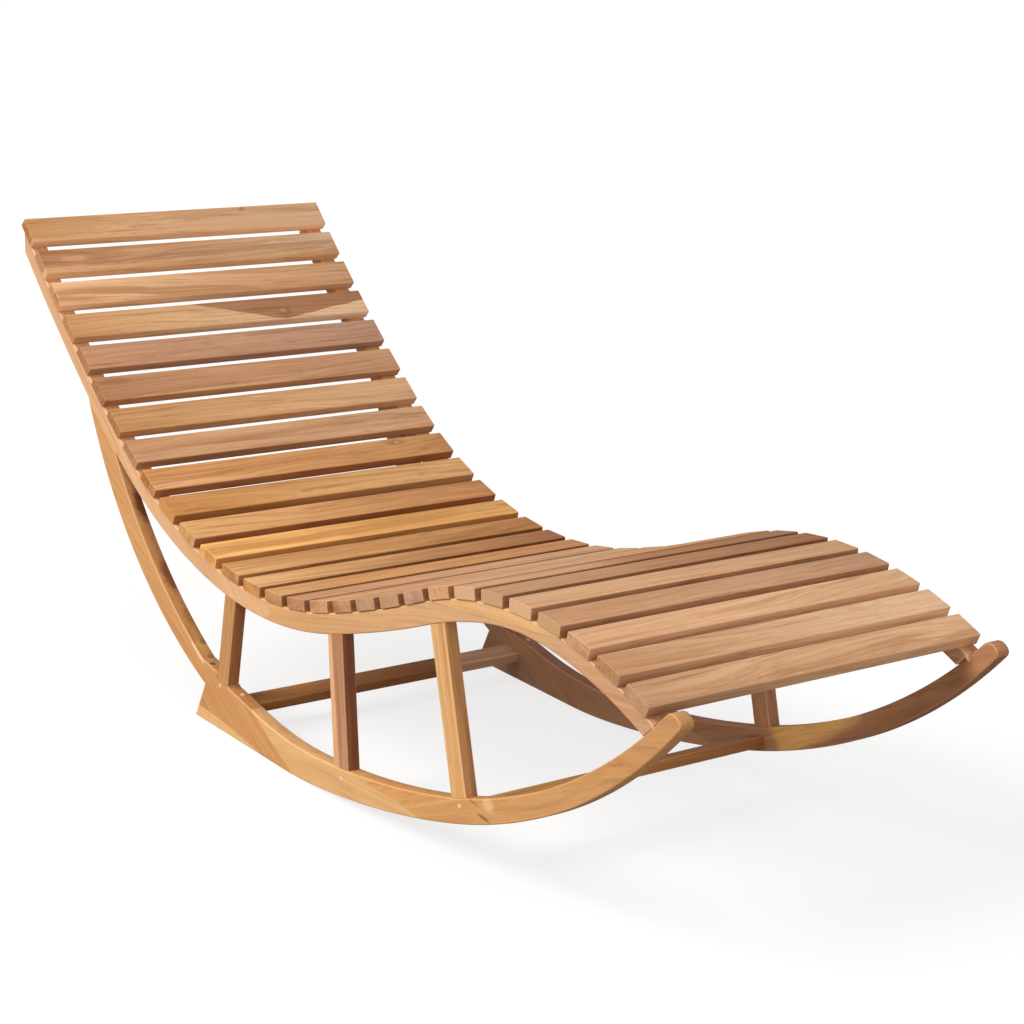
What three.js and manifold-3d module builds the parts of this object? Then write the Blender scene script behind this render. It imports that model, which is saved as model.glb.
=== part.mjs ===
// Rocking chaise lounge of solid teak: a slatted seat on two band-sawn side frames.
// Millimetres. +X runs from the head to the foot, +Y to the sitter's left, +Z up.
// Sizes in the side plane are laid out with the runners' lowest point on the floor, then leaned back to rest.
// The origin is on the floor, midway along and across the lounger.
import * as THREE from "three";
import { mergeVertices } from "three/addons/utils/BufferGeometryUtils.js";
import Module from "manifold-3d";

const wasm = await Module();
wasm.setup();
const { degToRad } = THREE.MathUtils;

// Slats
const OVERALL_WIDTH = 600;
const BACK_SLAT_WIDTH = 51.5;
const SEAT_SLAT_WIDTH = 48.5;
const SLAT_THICKNESS = 18.5;
const SLAT_EDGE_RADIUS = 2.5;
const SLAT_END_EASE = 1;
const SLAT_OVERHANG = 3;
const BACK_SLATS = 13;
const SEAT_SLATS = 16;
const BACK_PITCH = 69.6;
const SEAT_PITCH = 64.1;
const LAST_SLAT_AHEAD = 895.6;

// Seat line, the slats' tops seen from the side: arcs from its lowest point to the foot end
const SEAT_LOW_X = -61;
const SEAT_LOW_HEIGHT = 283;
const HOLLOW_RADIUS = 679;
const HOLLOW_FRONT_LENGTH = 138;
const THIGH_RADIUS = 2318;
const THIGH_LENGTH = 262;
const KNEE_RADIUS = 597;
const KNEE_LENGTH = 321;
const CALF_RADIUS = 730;
const CALF_LENGTH = 320;

// Seat line from its lowest point to the head end
const HOLLOW_BACK_LENGTH = 168;
const LUMBAR_RADIUS = 766;
const LUMBAR_LENGTH = 357;
const BACK_RADIUS = 3211;
const BACK_LENGTH = 480;

// Rails, whose depth is measured square to the seat line under the slats
const RAIL_THICKNESS = 29.5;
const RAIL_HEAD_DEPTH = 28;
const RAIL_SHOULDER_DEPTH = 30;
const RAIL_SHOULDER_BEHIND = 500;
const RAIL_SEAT_DEPTH = 31;
const RAIL_KNEE_DEPTH = 32.5;
const RAIL_KNEE_BEGINS = 250;
const RAIL_KNEE_ENDS = 480;
const RAIL_FOOT_DEPTH = 26;
const RAIL_FOOT_BEGINS = 630;
const RAIL_HEAD_SETBACK = 4;
const RAIL_TOE = 21;
const RAIL_TOE_RADIUS = 8;
const SCARF_LIP_BEHIND = 76;
const SCARF_STEP_BEHIND = 34;
const SCARF_NOSE_BEHIND = 11;
const SCARF_FOOT_BEHIND = 29;
const SCARF_STEP_SHARE = 0.2;
const SCARF_NOSE_SHARE = 0.46;
const CREST_BEGINS = 415;
const CREST_ENDS = 735;

// Runners, whose underside is arcs either way from its lowest point
const RUNNER_THICKNESS = 24;
const RUNNER_LOW_X = 28;
const RUNNER_RADIUS = 1826;
const RUNNER_LENGTH = 367;
const RUNNER_FRONT_RADIUS = 1137;
const RUNNER_FRONT_LENGTH = 229;
const RUNNER_TIP_RADIUS = 861;
const RUNNER_TIP_LENGTH = 342;
const RUNNER_REAR_RADIUS = 880;
const RUNNER_REAR_LENGTH = 80;
const RUNNER_TAIL_LENGTH = 268;
const RUNNER_HEEL_DEPTH = 80;
const RUNNER_WAIST_DEPTH = 55;
const RUNNER_WAIST_BEHIND = 113;
const RUNNER_MIDDLE_DEPTH = 44.5;
const RUNNER_FRONT_DEPTH = 37.5;
const RUNNER_NECK_DEPTH = 34;
const RUNNER_NECK_AHEAD = 714;
const RUNNER_TIP_DEPTH = 28;
const TIP_TOP_RADIUS = 16;
const TIP_BOTTOM_RADIUS = 9;
const FRONT_SCARF_TOP_AHEAD = 112;
const FRONT_SCARF_KINK_AHEAD = 245;
const FRONT_SCARF_BOTTOM_AHEAD = 298;
const FRONT_SCARF_KINK_SHARE = 0.44;
const HEEL_SCARF_TOP_BEHIND = 178;
const HEEL_SCARF_BOTTOM_BEHIND = 48;

// Heel and rear arm
const HEEL_FACE_LENGTH = 68;
const HEEL_LEAN = degToRad(61);
const WEDGE_FACE_LENGTH = 23;
const WEDGE_TOE_BEHIND = 134;
const WEDGE_SEAM_RADIUS = 1150;
const ARM_OUTER_RADIUS = 788;
const ARM_OUTER_BEHIND = 640;
const ARM_INNER_RADIUS = 850;
const ARM_INNER_BEHIND = 523;
const ARM_ROOT_BEHIND = 330;
const ARM_ROOT_RISE = 102;
const SHELF_RISE = 94;

// Posts, each from the runner to the rail, and the pegs that pin their feet
const POST_THICKNESS = 22;
const REAR_POST_WIDTH = 32;
const REAR_POST_FOOT_BEHIND = 266;
const REAR_POST_HEAD_BEHIND = 129;
const REAR_PEG_DROP = 6;
const REAR_PEG_ASIDE = 6;
const MIDDLE_POST_WIDTH = 39;
const MIDDLE_POST_FOOT_AHEAD = 91;
const MIDDLE_POST_HEAD_AHEAD = 157;
const MIDDLE_PEG_DROP = 15;
const FRONT_POST_WIDTH = 35;
const FRONT_POST_FOOT_AHEAD = 402;
const FRONT_POST_HEAD_AHEAD = 427;
const FRONT_PEG_DROP = 11;

// Joints
const TENON_THICKNESS = 8;
const TENON_LENGTH = 20;
const TENON_SHOULDER = 5;
const TENON_FROM_FACE = 6;
const STUB_TENON_LENGTH = 7;
const STUB_TENON_SHOULDER = 4;
const PEG_RADIUS = 3.5;
const PEG_LENGTH = 15;
const JOINT_GAP = 0.3;
const BOARD_EASE = 1.2;

// Stretchers, lying flat between the runners and set below their top edges
const STRETCHER_WIDTH = 38;
const STRETCHER_THICKNESS = 17;
const STRETCHER_EDGE_RADIUS = 2;
const REAR_STRETCHER_BEHIND = 248;
const REAR_STRETCHER_DROP = 26;
const FRONT_STRETCHER_AHEAD = 386;
const FRONT_STRETCHER_DROP = 13;

// How finely curves are cut, and how far cuts run past the wood
const FACET_LENGTH = 26;
const CORNER_STEPS = 2;
const NOSE_STEPS = 4;
const PEG_SIDES = 14;
const CUT_OVERRUN = 30;
const CUT_REACH = 2500;

// Places that follow from the sizes
const FRAME_Y = OVERALL_WIDTH / 2 - SLAT_OVERHANG - RUNNER_THICKNESS / 2;
const SLAT_SEAT_DEPTH = SLAT_THICKNESS + JOINT_GAP;
const RUNNER_HEEL_BEHIND = RUNNER_REAR_LENGTH + RUNNER_TAIL_LENGTH;
const RUNNER_TIP_AHEAD = RUNNER_LENGTH + RUNNER_FRONT_LENGTH + RUNNER_TIP_LENGTH;
const LAST_BACK_SLAT_BEHIND = SEAT_SLATS * SEAT_PITCH - LAST_SLAT_AHEAD;
const SLATTED_BEHIND = LAST_BACK_SLAT_BEHIND + (BACK_SLATS - 1) * BACK_PITCH + BACK_SLAT_WIDTH / 2;
const SLATTED_AHEAD = LAST_SLAT_AHEAD + SEAT_SLAT_WIDTH / 2;

// How far the empty lounger leans back, until its runners' straight tails lie on the floor
const REST_LEAN = RUNNER_REAR_LENGTH / RUNNER_REAR_RADIUS;

// Materials: one kind of timber, in the tones of its boards
const wood = (color, roughness) => new THREE.MeshStandardMaterial({ color, roughness, metalness: 0 });
const SLAT_WOODS = [wood(0xd2a272, 0.62), wood(0xbd8a63, 0.62), wood(0xcf9f76, 0.62)];
const RAIL_WOOD = wood(0xd39c66, 0.6);
const RUNNER_WOOD = wood(0xcf9a62, 0.6);
const PALE_WOOD = wood(0xd9ab78, 0.6);
const POST_WOOD = wood(0xc78f5f, 0.6);
const STRETCHER_WOOD = wood(0xb0734c, 0.62);
const PEG_WOOD = wood(0xe5c9a0, 0.6);

// Curves in the side plane, whose points hold x and the height

// Follows arcs of { length, radius } from a level start: how far along, how high and how steep it ends.
function climb(runs, distance) {
  let along = 0;
  let up = 0;
  let slope = 0;
  let left = distance;
  runs.forEach(({ length, radius }, index) => {
    const step = index === runs.length - 1 ? left : Math.min(left, length);
    const turn = step / radius;
    const chord = Number.isFinite(radius) ? 2 * radius * Math.sin(turn / 2) : step;
    along += chord * Math.cos(slope + turn / 2);
    up += chord * Math.sin(slope + turn / 2);
    slope += turn;
    left -= step;
  });
  return { along, up, slope };
}

// A curve through its lowest point, which gives the point at a distance along it, raised square to it.
function sideLine(low, towardFoot, towardHead) {
  return (distance, rise = 0) => {
    const side = distance < 0 ? -1 : 1;
    const { along, up, slope } = climb(side < 0 ? towardHead : towardFoot, Math.abs(distance));
    const x = low.x + side * (along - rise * Math.sin(slope));
    return new THREE.Vector2(x, low.y + up + rise * Math.cos(slope));
  };
}

// A value that runs smoothly through its stops, each [distance, value].
function through(...stops) {
  const last = stops.length - 1;
  const steepness = (index) => {
    const [before, after] = [stops[Math.max(index - 1, 0)], stops[Math.min(index + 1, last)]];
    return (after[1] - before[1]) / (after[0] - before[0]);
  };
  return (distance) => {
    const at = THREE.MathUtils.clamp(distance, stops[0][0], stops[last][0]);
    const index = Math.min(stops.findLastIndex((stop) => stop[0] <= at), last - 1);
    const [[start, from], [end, to]] = [stops[index], stops[index + 1]];
    const span = end - start;
    const u = (at - start) / span;
    const entry = u * (1 - u) * (1 - u) * span * steepness(index);
    const exit = u * u * (u - 1) * span * steepness(index + 1);
    return from + (to - from) * u * u * (3 - 2 * u) + entry + exit;
  };
}

// Distances from one to the other, evenly spaced by about a facet.
function stations(from, to) {
  const count = Math.max(1, Math.round(Math.abs(to - from) / FACET_LENGTH));
  return Array.from({ length: count + 1 }, (_, i) => THREE.MathUtils.lerp(from, to, i / count));
}

// A unit way at an angle, times a length.
const toward = (angle, length) => new THREE.Vector2(Math.cos(angle), Math.sin(angle)).multiplyScalar(length);

// The arc from one point to another that bulges to the left of that way, run on before and after them.
function arcBetween(from, to, radius, before, after) {
  const chord = to.clone().sub(from);
  const half = Math.asin(chord.length() / 2 / radius);
  const middle = chord.angle() + Math.PI / 2;
  const centre = from.clone().add(to).divideScalar(2).sub(toward(middle, radius * Math.cos(half)));
  const arcs = stations(-half * radius - before, half * radius + after);
  return arcs.map((arc) => toward(middle - arc / radius, radius).add(centre));
}

// Rounds the corner between two straight edges with an arc of the given radius.
function roundCorner(before, corner, after, radius) {
  const [into, out] = [before, after].map((end) => end.clone().sub(corner).normalize());
  const half = Math.acos(into.dot(out)) / 2;
  const centre = into.clone().add(out).normalize().multiplyScalar(radius / Math.sin(half)).add(corner);
  const [start, end] = [into, out].map((way) =>
    way.clone().multiplyScalar(radius / Math.tan(half)).add(corner).sub(centre).angle(),
  );
  const sweep = Math.atan2(Math.sin(end - start), Math.cos(end - start));
  return Array.from({ length: NOSE_STEPS + 1 }, (_, i) =>
    toward(start + (sweep * i) / NOSE_STEPS, radius).add(centre),
  );
}

// The outline of a bar's section with rounded corners.
function roundedSection(width, height, radius) {
  const [x, y] = [width / 2 - radius, height / 2 - radius];
  const centres = [[x, y], [-x, y], [-x, -y], [x, -y]];
  return centres.flatMap(([cx, cy], quarter) =>
    Array.from({ length: CORNER_STEPS + 1 }, (_, i) =>
      toward((quarter + i / CORNER_STEPS) * (Math.PI / 2), radius).add(new THREE.Vector2(cx, cy)),
    ),
  );
}

// A seam run on past both its ends.
function runOn(seam) {
  const beyond = (end, inner) => end.clone().sub(inner).normalize().multiplyScalar(CUT_OVERRUN).add(end);
  return [beyond(seam[0], seam[1]), ...seam, beyond(seam.at(-1), seam.at(-2))];
}

// Solids

// A closed geometry as a manifold-3d solid.
function solidOf(geometry) {
  const bare = geometry.clone();
  bare.deleteAttribute("normal");
  bare.deleteAttribute("uv");
  const merged = mergeVertices(bare);
  const mesh = new wasm.Mesh({
    numProp: 3,
    vertProperties: new Float32Array(merged.attributes.position.array),
    triVerts: new Uint32Array(merged.index.array),
  });
  return new wasm.Manifold(mesh);
}

// A manifold-3d solid as a geometry.
function geometryOf(solid) {
  const { vertProperties, triVerts } = solid.getMesh();
  const geometry = new THREE.BufferGeometry();
  geometry.setAttribute("position", new THREE.BufferAttribute(vertProperties, 3));
  geometry.setIndex(new THREE.BufferAttribute(triVerts, 1));
  const faceted = geometry.toNonIndexed();
  faceted.computeVertexNormals();
  return faceted;
}

// A board cut to an outline in the side plane, centred on y = 0, with its edges eased.
function boardGeometry(outline, thickness, ease) {
  const geometry = new THREE.ExtrudeGeometry(new THREE.Shape(outline), {
    depth: thickness - 2 * ease,
    bevelEnabled: ease > 0,
    bevelThickness: ease,
    bevelSize: ease,
    bevelOffset: -ease,
    bevelSegments: 1,
    steps: 1,
  });
  geometry.translate(0, 0, ease - thickness / 2);
  return geometry.rotateX(Math.PI / 2);
}

// A board whose outer face is flush with the runner's, which is centred on y = 0.
function board(outline, thickness) {
  return solidOf(boardGeometry(outline, thickness, BOARD_EASE)).translate([0, (thickness - RUNNER_THICKNESS) / 2, 0]);
}

// A space in the side plane that reaches through every board, for cutting.
const space = (outline) => solidOf(boardGeometry(outline, RAIL_THICKNESS + 2 * CUT_OVERRUN, 0));

// The strip that a saw takes along a seam.
function kerf(seam) {
  const edge = (side) =>
    seam.map((point, index) => {
      const way = seam[Math.min(index + 1, seam.length - 1)].clone().sub(seam[Math.max(index - 1, 0)]);
      return toward(way.angle() + Math.PI / 2, (side * JOINT_GAP) / 2).add(point);
    });
  return space([...edge(-1), ...edge(1).reverse()]);
}

// The side plane headward of a seam that runs from top to bottom.
function headwardOf(seam) {
  const far = [
    new THREE.Vector2(seam.at(-1).x, -CUT_REACH),
    new THREE.Vector2(-CUT_REACH, -CUT_REACH),
    new THREE.Vector2(-CUT_REACH, CUT_REACH),
    new THREE.Vector2(seam[0].x, CUT_REACH),
  ];
  return space([...seam, ...far]);
}

// A square bar along a leaning line in the side plane, at y in the board's thickness.
function leaningBar(width, thickness, length, middle, lean, y) {
  const geometry = new THREE.BoxGeometry(width, thickness, length);
  geometry.rotateY(lean);
  geometry.translate(middle.x, y, middle.y);
  return solidOf(geometry);
}

// A round bar from the outer face of a side frame inward.
function peg(radius, from, to, place) {
  const geometry = new THREE.CylinderGeometry(radius, radius, to - from, PEG_SIDES);
  geometry.translate(place.x, (from + to) / 2, place.y);
  return solidOf(geometry);
}

// Curves that the pieces share

const seatLine = sideLine(
  new THREE.Vector2(SEAT_LOW_X, SEAT_LOW_HEIGHT),
  [
    { length: HOLLOW_FRONT_LENGTH, radius: HOLLOW_RADIUS },
    { length: THIGH_LENGTH, radius: THIGH_RADIUS },
    { length: KNEE_LENGTH, radius: -KNEE_RADIUS },
    { length: CALF_LENGTH, radius: -CALF_RADIUS },
  ],
  [
    { length: HOLLOW_BACK_LENGTH, radius: HOLLOW_RADIUS },
    { length: LUMBAR_LENGTH, radius: LUMBAR_RADIUS },
    { length: BACK_LENGTH, radius: BACK_RADIUS },
  ],
);
const runnerLine = sideLine(
  new THREE.Vector2(RUNNER_LOW_X, 0),
  [
    { length: RUNNER_LENGTH, radius: RUNNER_RADIUS },
    { length: RUNNER_FRONT_LENGTH, radius: RUNNER_FRONT_RADIUS },
    { length: RUNNER_TIP_LENGTH, radius: RUNNER_TIP_RADIUS },
  ],
  [
    { length: RUNNER_REAR_LENGTH, radius: RUNNER_REAR_RADIUS },
    { length: RUNNER_TAIL_LENGTH, radius: Infinity },
  ],
);
const railDepth = through(
  [-SLATTED_BEHIND, RAIL_HEAD_DEPTH],
  [-RAIL_SHOULDER_BEHIND, RAIL_SHOULDER_DEPTH],
  [0, RAIL_SEAT_DEPTH],
  [RAIL_KNEE_BEGINS, RAIL_KNEE_DEPTH],
  [RAIL_KNEE_ENDS, RAIL_KNEE_DEPTH],
  [RAIL_FOOT_BEGINS, RAIL_FOOT_DEPTH],
  [SLATTED_AHEAD, RAIL_FOOT_DEPTH],
);
const runnerDepth = through(
  [-RUNNER_HEEL_BEHIND, RUNNER_HEEL_DEPTH],
  [-REAR_POST_FOOT_BEHIND, RUNNER_HEEL_DEPTH],
  [-RUNNER_WAIST_BEHIND, RUNNER_WAIST_DEPTH],
  [MIDDLE_POST_FOOT_AHEAD, RUNNER_MIDDLE_DEPTH],
  [FRONT_POST_FOOT_AHEAD, RUNNER_FRONT_DEPTH],
  [RUNNER_NECK_AHEAD, RUNNER_NECK_DEPTH],
  [RUNNER_TIP_AHEAD, RUNNER_TIP_DEPTH],
);
const railUnder = (distance, gap = 0) => seatLine(distance, -SLAT_SEAT_DEPTH - railDepth(distance) - gap);
const runnerTop = (distance, gap = 0) => runnerLine(distance, runnerDepth(distance) + gap);

// Points at a share of a rail's depth below its top, and of a runner's depth above its sole
const inRail = ([distance, share]) => seatLine(distance, -SLAT_SEAT_DEPTH - share * railDepth(distance));
const inRunner = ([distance, share]) => runnerLine(distance, share * runnerDepth(distance));

// A point up the heel's back face from its bottom corner
const heelFace = (height) => runnerLine(-RUNNER_HEEL_BEHIND).add(toward(HEEL_LEAN, height));

// Each slat from the head to the foot: its width, the middle of its top face, and its slope
const slatPlaces = Array.from({ length: BACK_SLATS + SEAT_SLATS }, (_, index) => {
  const steps = index - (BACK_SLATS - 1);
  const [pitch, width] = steps > 0 ? [SEAT_PITCH, SEAT_SLAT_WIDTH] : [BACK_PITCH, BACK_SLAT_WIDTH];
  const [headward, footward] = [-1, 1].map((side) =>
    seatLine(steps * pitch - LAST_BACK_SLAT_BEHIND + (side * width) / 2),
  );
  const chord = footward.sub(headward);
  return { width, middle: headward.addScaledVector(chord, 1 / 2), angle: chord.angle() };
});

// A point of a slat's section, or of the rail under it: along from its middle, and below its top.
function onSlat({ middle, angle }, along, below) {
  return middle.clone().add(toward(angle, along)).add(toward(angle - Math.PI / 2, below));
}

// Whole boards, before their seams are cut

// The rail, with a flat seat on top for each slat, a plumb head end and a toe that lands on the runner
function railBoard() {
  const seats = slatPlaces.flatMap((place) =>
    [-place.width / 2, place.width / 2].map((along) => onSlat(place, along, SLAT_SEAT_DEPTH)),
  );
  const [toe, end] = [0, RAIL_FOOT_DEPTH].map((depth) =>
    onSlat(slatPlaces.at(-1), SEAT_SLAT_WIDTH / 2 + RAIL_TOE, SLAT_SEAT_DEPTH + depth),
  );
  const nose = roundCorner(seats.at(-1), toe, end, RAIL_TOE_RADIUS);
  const under = stations(SLATTED_AHEAD, -SLATTED_BEHIND).map((s) => railUnder(s));
  const plumb = [0, CUT_REACH].map((height) => new THREE.Vector2(seats[0].x + RAIL_HEAD_SETBACK, height));
  const beyondHead = [CUT_REACH, 0].map((height) => new THREE.Vector2(-CUT_REACH, height));
  const landing = stations(RUNNER_TIP_AHEAD, RUNNER_NECK_AHEAD).map((s) => runnerTop(s, JOINT_GAP));
  const beyondTip = landing[0].clone().sub(landing[1]).setLength(CUT_REACH).add(landing[0]);
  const below = [landing.at(-1), beyondTip].map((point) => point.clone().setY(-CUT_REACH));
  return board([...seats, ...nose, end, ...under], RAIL_THICKNESS)
    .subtract(space([...plumb, ...beyondHead]))
    .subtract(space([beyondTip, ...landing, ...below]));
}

// The runner, from the heel along the sole to the rounded tip and back along the top
function runnerBoard() {
  const tail = runnerLine(-RUNNER_HEEL_BEHIND);
  const sole = stations(-RUNNER_REAR_LENGTH, RUNNER_TIP_AHEAD).map((s) => runnerLine(s));
  const [beforeToe, toe] = sole.slice(-2);
  const tipTop = runnerTop(RUNNER_TIP_AHEAD);
  const top = stations(RUNNER_TIP_AHEAD - FACET_LENGTH, -REAR_POST_FOOT_BEHIND).map((s) => runnerTop(s));
  const tip = [
    ...roundCorner(beforeToe, toe, tipTop, TIP_BOTTOM_RADIUS),
    ...roundCorner(toe, tipTop, top[0], TIP_TOP_RADIUS),
  ];
  const buried = heelFace(HEEL_FACE_LENGTH + BOARD_EASE);
  return board([tail, ...sole.slice(0, -1), ...tip, ...top, buried], RUNNER_THICKNESS);
}

// The rear arm, from deep in the heel to the underside of the back rail
function armBoard() {
  const [outerHead, innerHead] = [ARM_OUTER_BEHIND, ARM_INNER_BEHIND].map((behind) => railUnder(-behind));
  const outer = arcBetween(heelFace(HEEL_FACE_LENGTH), outerHead, ARM_OUTER_RADIUS, CUT_OVERRUN, CUT_OVERRUN);
  const root = runnerLine(-ARM_ROOT_BEHIND, ARM_ROOT_RISE);
  const inner = arcBetween(root, innerHead, ARM_INNER_RADIUS, 0, CUT_OVERRUN);
  const buried = runnerLine(-REAR_POST_FOOT_BEHIND, RUNNER_HEEL_DEPTH / 2);
  const shelf = [0, REAR_POST_WIDTH / 2].map((aside) => runnerLine(-REAR_POST_FOOT_BEHIND - aside, SHELF_RISE));
  const [low, high] = [-ARM_OUTER_BEHIND - 2 * CUT_OVERRUN, -ARM_INNER_BEHIND + 2 * CUT_OVERRUN];
  const rail = [
    ...stations(low, high).map((s) => railUnder(s, JOINT_GAP)),
    ...stations(high, low).map((s) => seatLine(s)),
  ];
  return board([...outer.reverse(), buried, ...shelf, ...inner], RUNNER_THICKNESS).subtract(space(rail));
}

// Posts

// A post with its tenons and peg, and the spaces that they need in the boards.
function postJoint({ width, footAt, headAt, pegDrop, pegAside }) {
  const [foot, head] = [runnerTop(footAt), railUnder(headAt)];
  const way = head.clone().sub(foot);
  const lean = Math.PI / 2 - way.angle();
  const middle = foot.clone().addScaledVector(way, 1 / 2);
  const length = way.length();
  const outerFace = -RUNNER_THICKNESS / 2;
  const barY = outerFace + POST_THICKNESS / 2;
  const tenonY = outerFace + TENON_FROM_FACE + TENON_THICKNESS / 2;
  const tenonWidth = width - 2 * TENON_SHOULDER;
  const grown = 2 * JOINT_GAP;
  const [back, front] = [footAt - width, footAt + width];
  const underTop = (gap) =>
    space([
      ...stations(front, back).map((s) => runnerTop(s, gap)),
      ...[back, front].map((s) => runnerLine(s, -CUT_OVERRUN)),
    ]);
  const over = [
    ...stations(headAt - width, headAt + width).map((s) => railUnder(s, JOINT_GAP)),
    ...[headAt + width, headAt - width].map((s) => seatLine(s, CUT_OVERRUN)),
  ];
  const pegPlace = foot.clone().add(toward(way.angle(), -pegDrop)).add(toward(way.angle() + Math.PI / 2, pegAside));
  const pegHole = peg(PEG_RADIUS + JOINT_GAP, outerFace - CUT_OVERRUN, outerFace + PEG_LENGTH + JOINT_GAP, pegPlace);
  const section = roundedSection(width, POST_THICKNESS, BOARD_EASE);
  const shank = new THREE.ExtrudeGeometry(new THREE.Shape(section), {
    depth: length + 2 * CUT_OVERRUN,
    bevelEnabled: false,
  });
  shank.translate(0, 0, -length / 2 - CUT_OVERRUN);
  shank.rotateY(lean);
  shank.translate(middle.x, barY, middle.y);
  return {
    post: solidOf(shank)
      .subtract(underTop(JOINT_GAP))
      .subtract(space(over))
      .add(leaningBar(tenonWidth, TENON_THICKNESS, length + 2 * TENON_LENGTH, middle, lean, tenonY))
      .subtract(pegHole),
    peg: peg(PEG_RADIUS, outerFace, outerFace + PEG_LENGTH, pegPlace),
    mortise: leaningBar(
      tenonWidth + grown,
      TENON_THICKNESS + grown,
      length + 2 * TENON_LENGTH + grown,
      middle,
      lean,
      tenonY,
    ).add(pegHole),
    notch: leaningBar(width + grown, RUNNER_THICKNESS + grown, length + CUT_OVERRUN, middle, lean, 0).subtract(
      underTop(0),
    ),
  };
}

const posts = {
  rear_post: postJoint({
    width: REAR_POST_WIDTH,
    footAt: -REAR_POST_FOOT_BEHIND,
    headAt: -REAR_POST_HEAD_BEHIND,
    pegDrop: REAR_PEG_DROP,
    pegAside: REAR_PEG_ASIDE,
  }),
  middle_post: postJoint({
    width: MIDDLE_POST_WIDTH,
    footAt: MIDDLE_POST_FOOT_AHEAD,
    headAt: MIDDLE_POST_HEAD_AHEAD,
    pegDrop: MIDDLE_PEG_DROP,
    pegAside: 0,
  }),
  front_post: postJoint({
    width: FRONT_POST_WIDTH,
    footAt: FRONT_POST_FOOT_AHEAD,
    headAt: FRONT_POST_HEAD_AHEAD,
    pegDrop: FRONT_PEG_DROP,
    pegAside: 0,
  }),
};

// Stretchers

// Where a stretcher's section lies: its middle, and its slope along the runner's top.
function stretcherPlace(at, drop) {
  const chord = runnerTop(at + STRETCHER_WIDTH / 2).sub(runnerTop(at - STRETCHER_WIDTH / 2));
  const middle = runnerTop(at, -drop).add(toward(chord.angle() - Math.PI / 2, STRETCHER_THICKNESS / 2));
  return { middle, angle: chord.angle() };
}
const stretcherPlaces = {
  rear_stretcher: stretcherPlace(-REAR_STRETCHER_BEHIND, REAR_STRETCHER_DROP),
  front_stretcher: stretcherPlace(FRONT_STRETCHER_AHEAD, FRONT_STRETCHER_DROP),
};

// A stretcher along Y with a stub tenon at each end, centred on its own middle
function stretcher() {
  const innerFace = FRAME_Y - RUNNER_THICKNESS / 2;
  const section = roundedSection(STRETCHER_WIDTH, STRETCHER_THICKNESS, STRETCHER_EDGE_RADIUS);
  const shank = solidOf(boardGeometry(section, 2 * (innerFace - JOINT_GAP), 0));
  const tenons = new THREE.BoxGeometry(
    STRETCHER_WIDTH - 2 * STUB_TENON_SHOULDER,
    2 * (innerFace + STUB_TENON_LENGTH),
    STRETCHER_THICKNESS - 2 * STUB_TENON_SHOULDER,
  );
  return geometryOf(shank.add(solidOf(tenons)));
}

// The mortise for a stretcher's stub tenon in a side frame, whose inner face looks along +Y
function stubMortise({ middle, angle }) {
  const bottom = RUNNER_THICKNESS / 2 - STUB_TENON_LENGTH - JOINT_GAP;
  const depth = STUB_TENON_LENGTH + JOINT_GAP + CUT_OVERRUN;
  const grown = 2 * (JOINT_GAP - STUB_TENON_SHOULDER);
  return leaningBar(STRETCHER_WIDTH + grown, depth, STRETCHER_THICKNESS + grown, middle, -angle, bottom + depth / 2);
}

// The side frame, built as the right one, with its outer face looking along -Y

// Saws a board along a seam that runs from top to bottom, into what is headward and what is footward.
function saw(solid, seam) {
  const long = runOn(seam);
  const [cut, headward] = [solid.subtract(kerf(long)), headwardOf(long)];
  return [cut.intersect(headward), cut.subtract(headward)];
}

// The rail's pieces: back and seat lengths hooked together, and the crest glued on over the knees
function railPieces(mortises) {
  const scarf = [
    [-SCARF_LIP_BEHIND, 0],
    [-SCARF_STEP_BEHIND, SCARF_STEP_SHARE],
    [-SCARF_NOSE_BEHIND, SCARF_NOSE_SHARE],
    [-SCARF_FOOT_BEHIND, 1],
  ];
  const crestSeam = runOn([CREST_BEGINS, CREST_ENDS].map((distance) => inRail([distance, 0])));
  const aboveCrestSeam = crestSeam.map((point) => point.clone().setY(point.y + CUT_REACH)).reverse();
  const overKnees = space([...crestSeam, ...aboveCrestSeam]);
  const [backRail, footward] = saw(railBoard().subtract(mortises), scarf.map(inRail));
  const sawn = footward.subtract(kerf(crestSeam));
  return { back_rail: backRail, seat_rail: sawn.subtract(overKnees), knee_crest: sawn.intersect(overKnees) };
}

// The runner's pieces: the arm with its heel, the wedge under the heel, and two scarfed lengths
function runnerPieces(mortises) {
  const whole = runnerBoard().add(armBoard()).subtract(posts.rear_post.notch).subtract(mortises);
  const toe = runnerLine(-WEDGE_TOE_BEHIND);
  const seam = arcBetween(heelFace(WEDGE_FACE_LENGTH), toe, WEDGE_SEAM_RADIUS, CUT_OVERRUN, CUT_OVERRUN);
  const belowSeam = [seam.at(-1), seam[0]].map((point) => point.clone().setY(-CUT_REACH));
  const underHeel = space([...seam, ...belowSeam]);
  const cut = whole.subtract(kerf(seam));
  const heelScarf = [
    [-HEEL_SCARF_TOP_BEHIND, 1],
    [-HEEL_SCARF_BOTTOM_BEHIND, 0],
  ];
  const frontScarf = [
    [FRONT_SCARF_TOP_AHEAD, 1],
    [FRONT_SCARF_KINK_AHEAD, FRONT_SCARF_KINK_SHARE],
    [FRONT_SCARF_BOTTOM_AHEAD, 0],
  ];
  const [arm, rest] = saw(cut.subtract(underHeel), heelScarf.map(inRunner));
  const [rearRunner, frontRunner] = saw(rest, frontScarf.map(inRunner));
  return {
    rear_arm: arm,
    heel_wedge: cut.intersect(underHeel),
    rear_runner: rearRunner,
    front_runner: frontRunner,
  };
}

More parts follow.
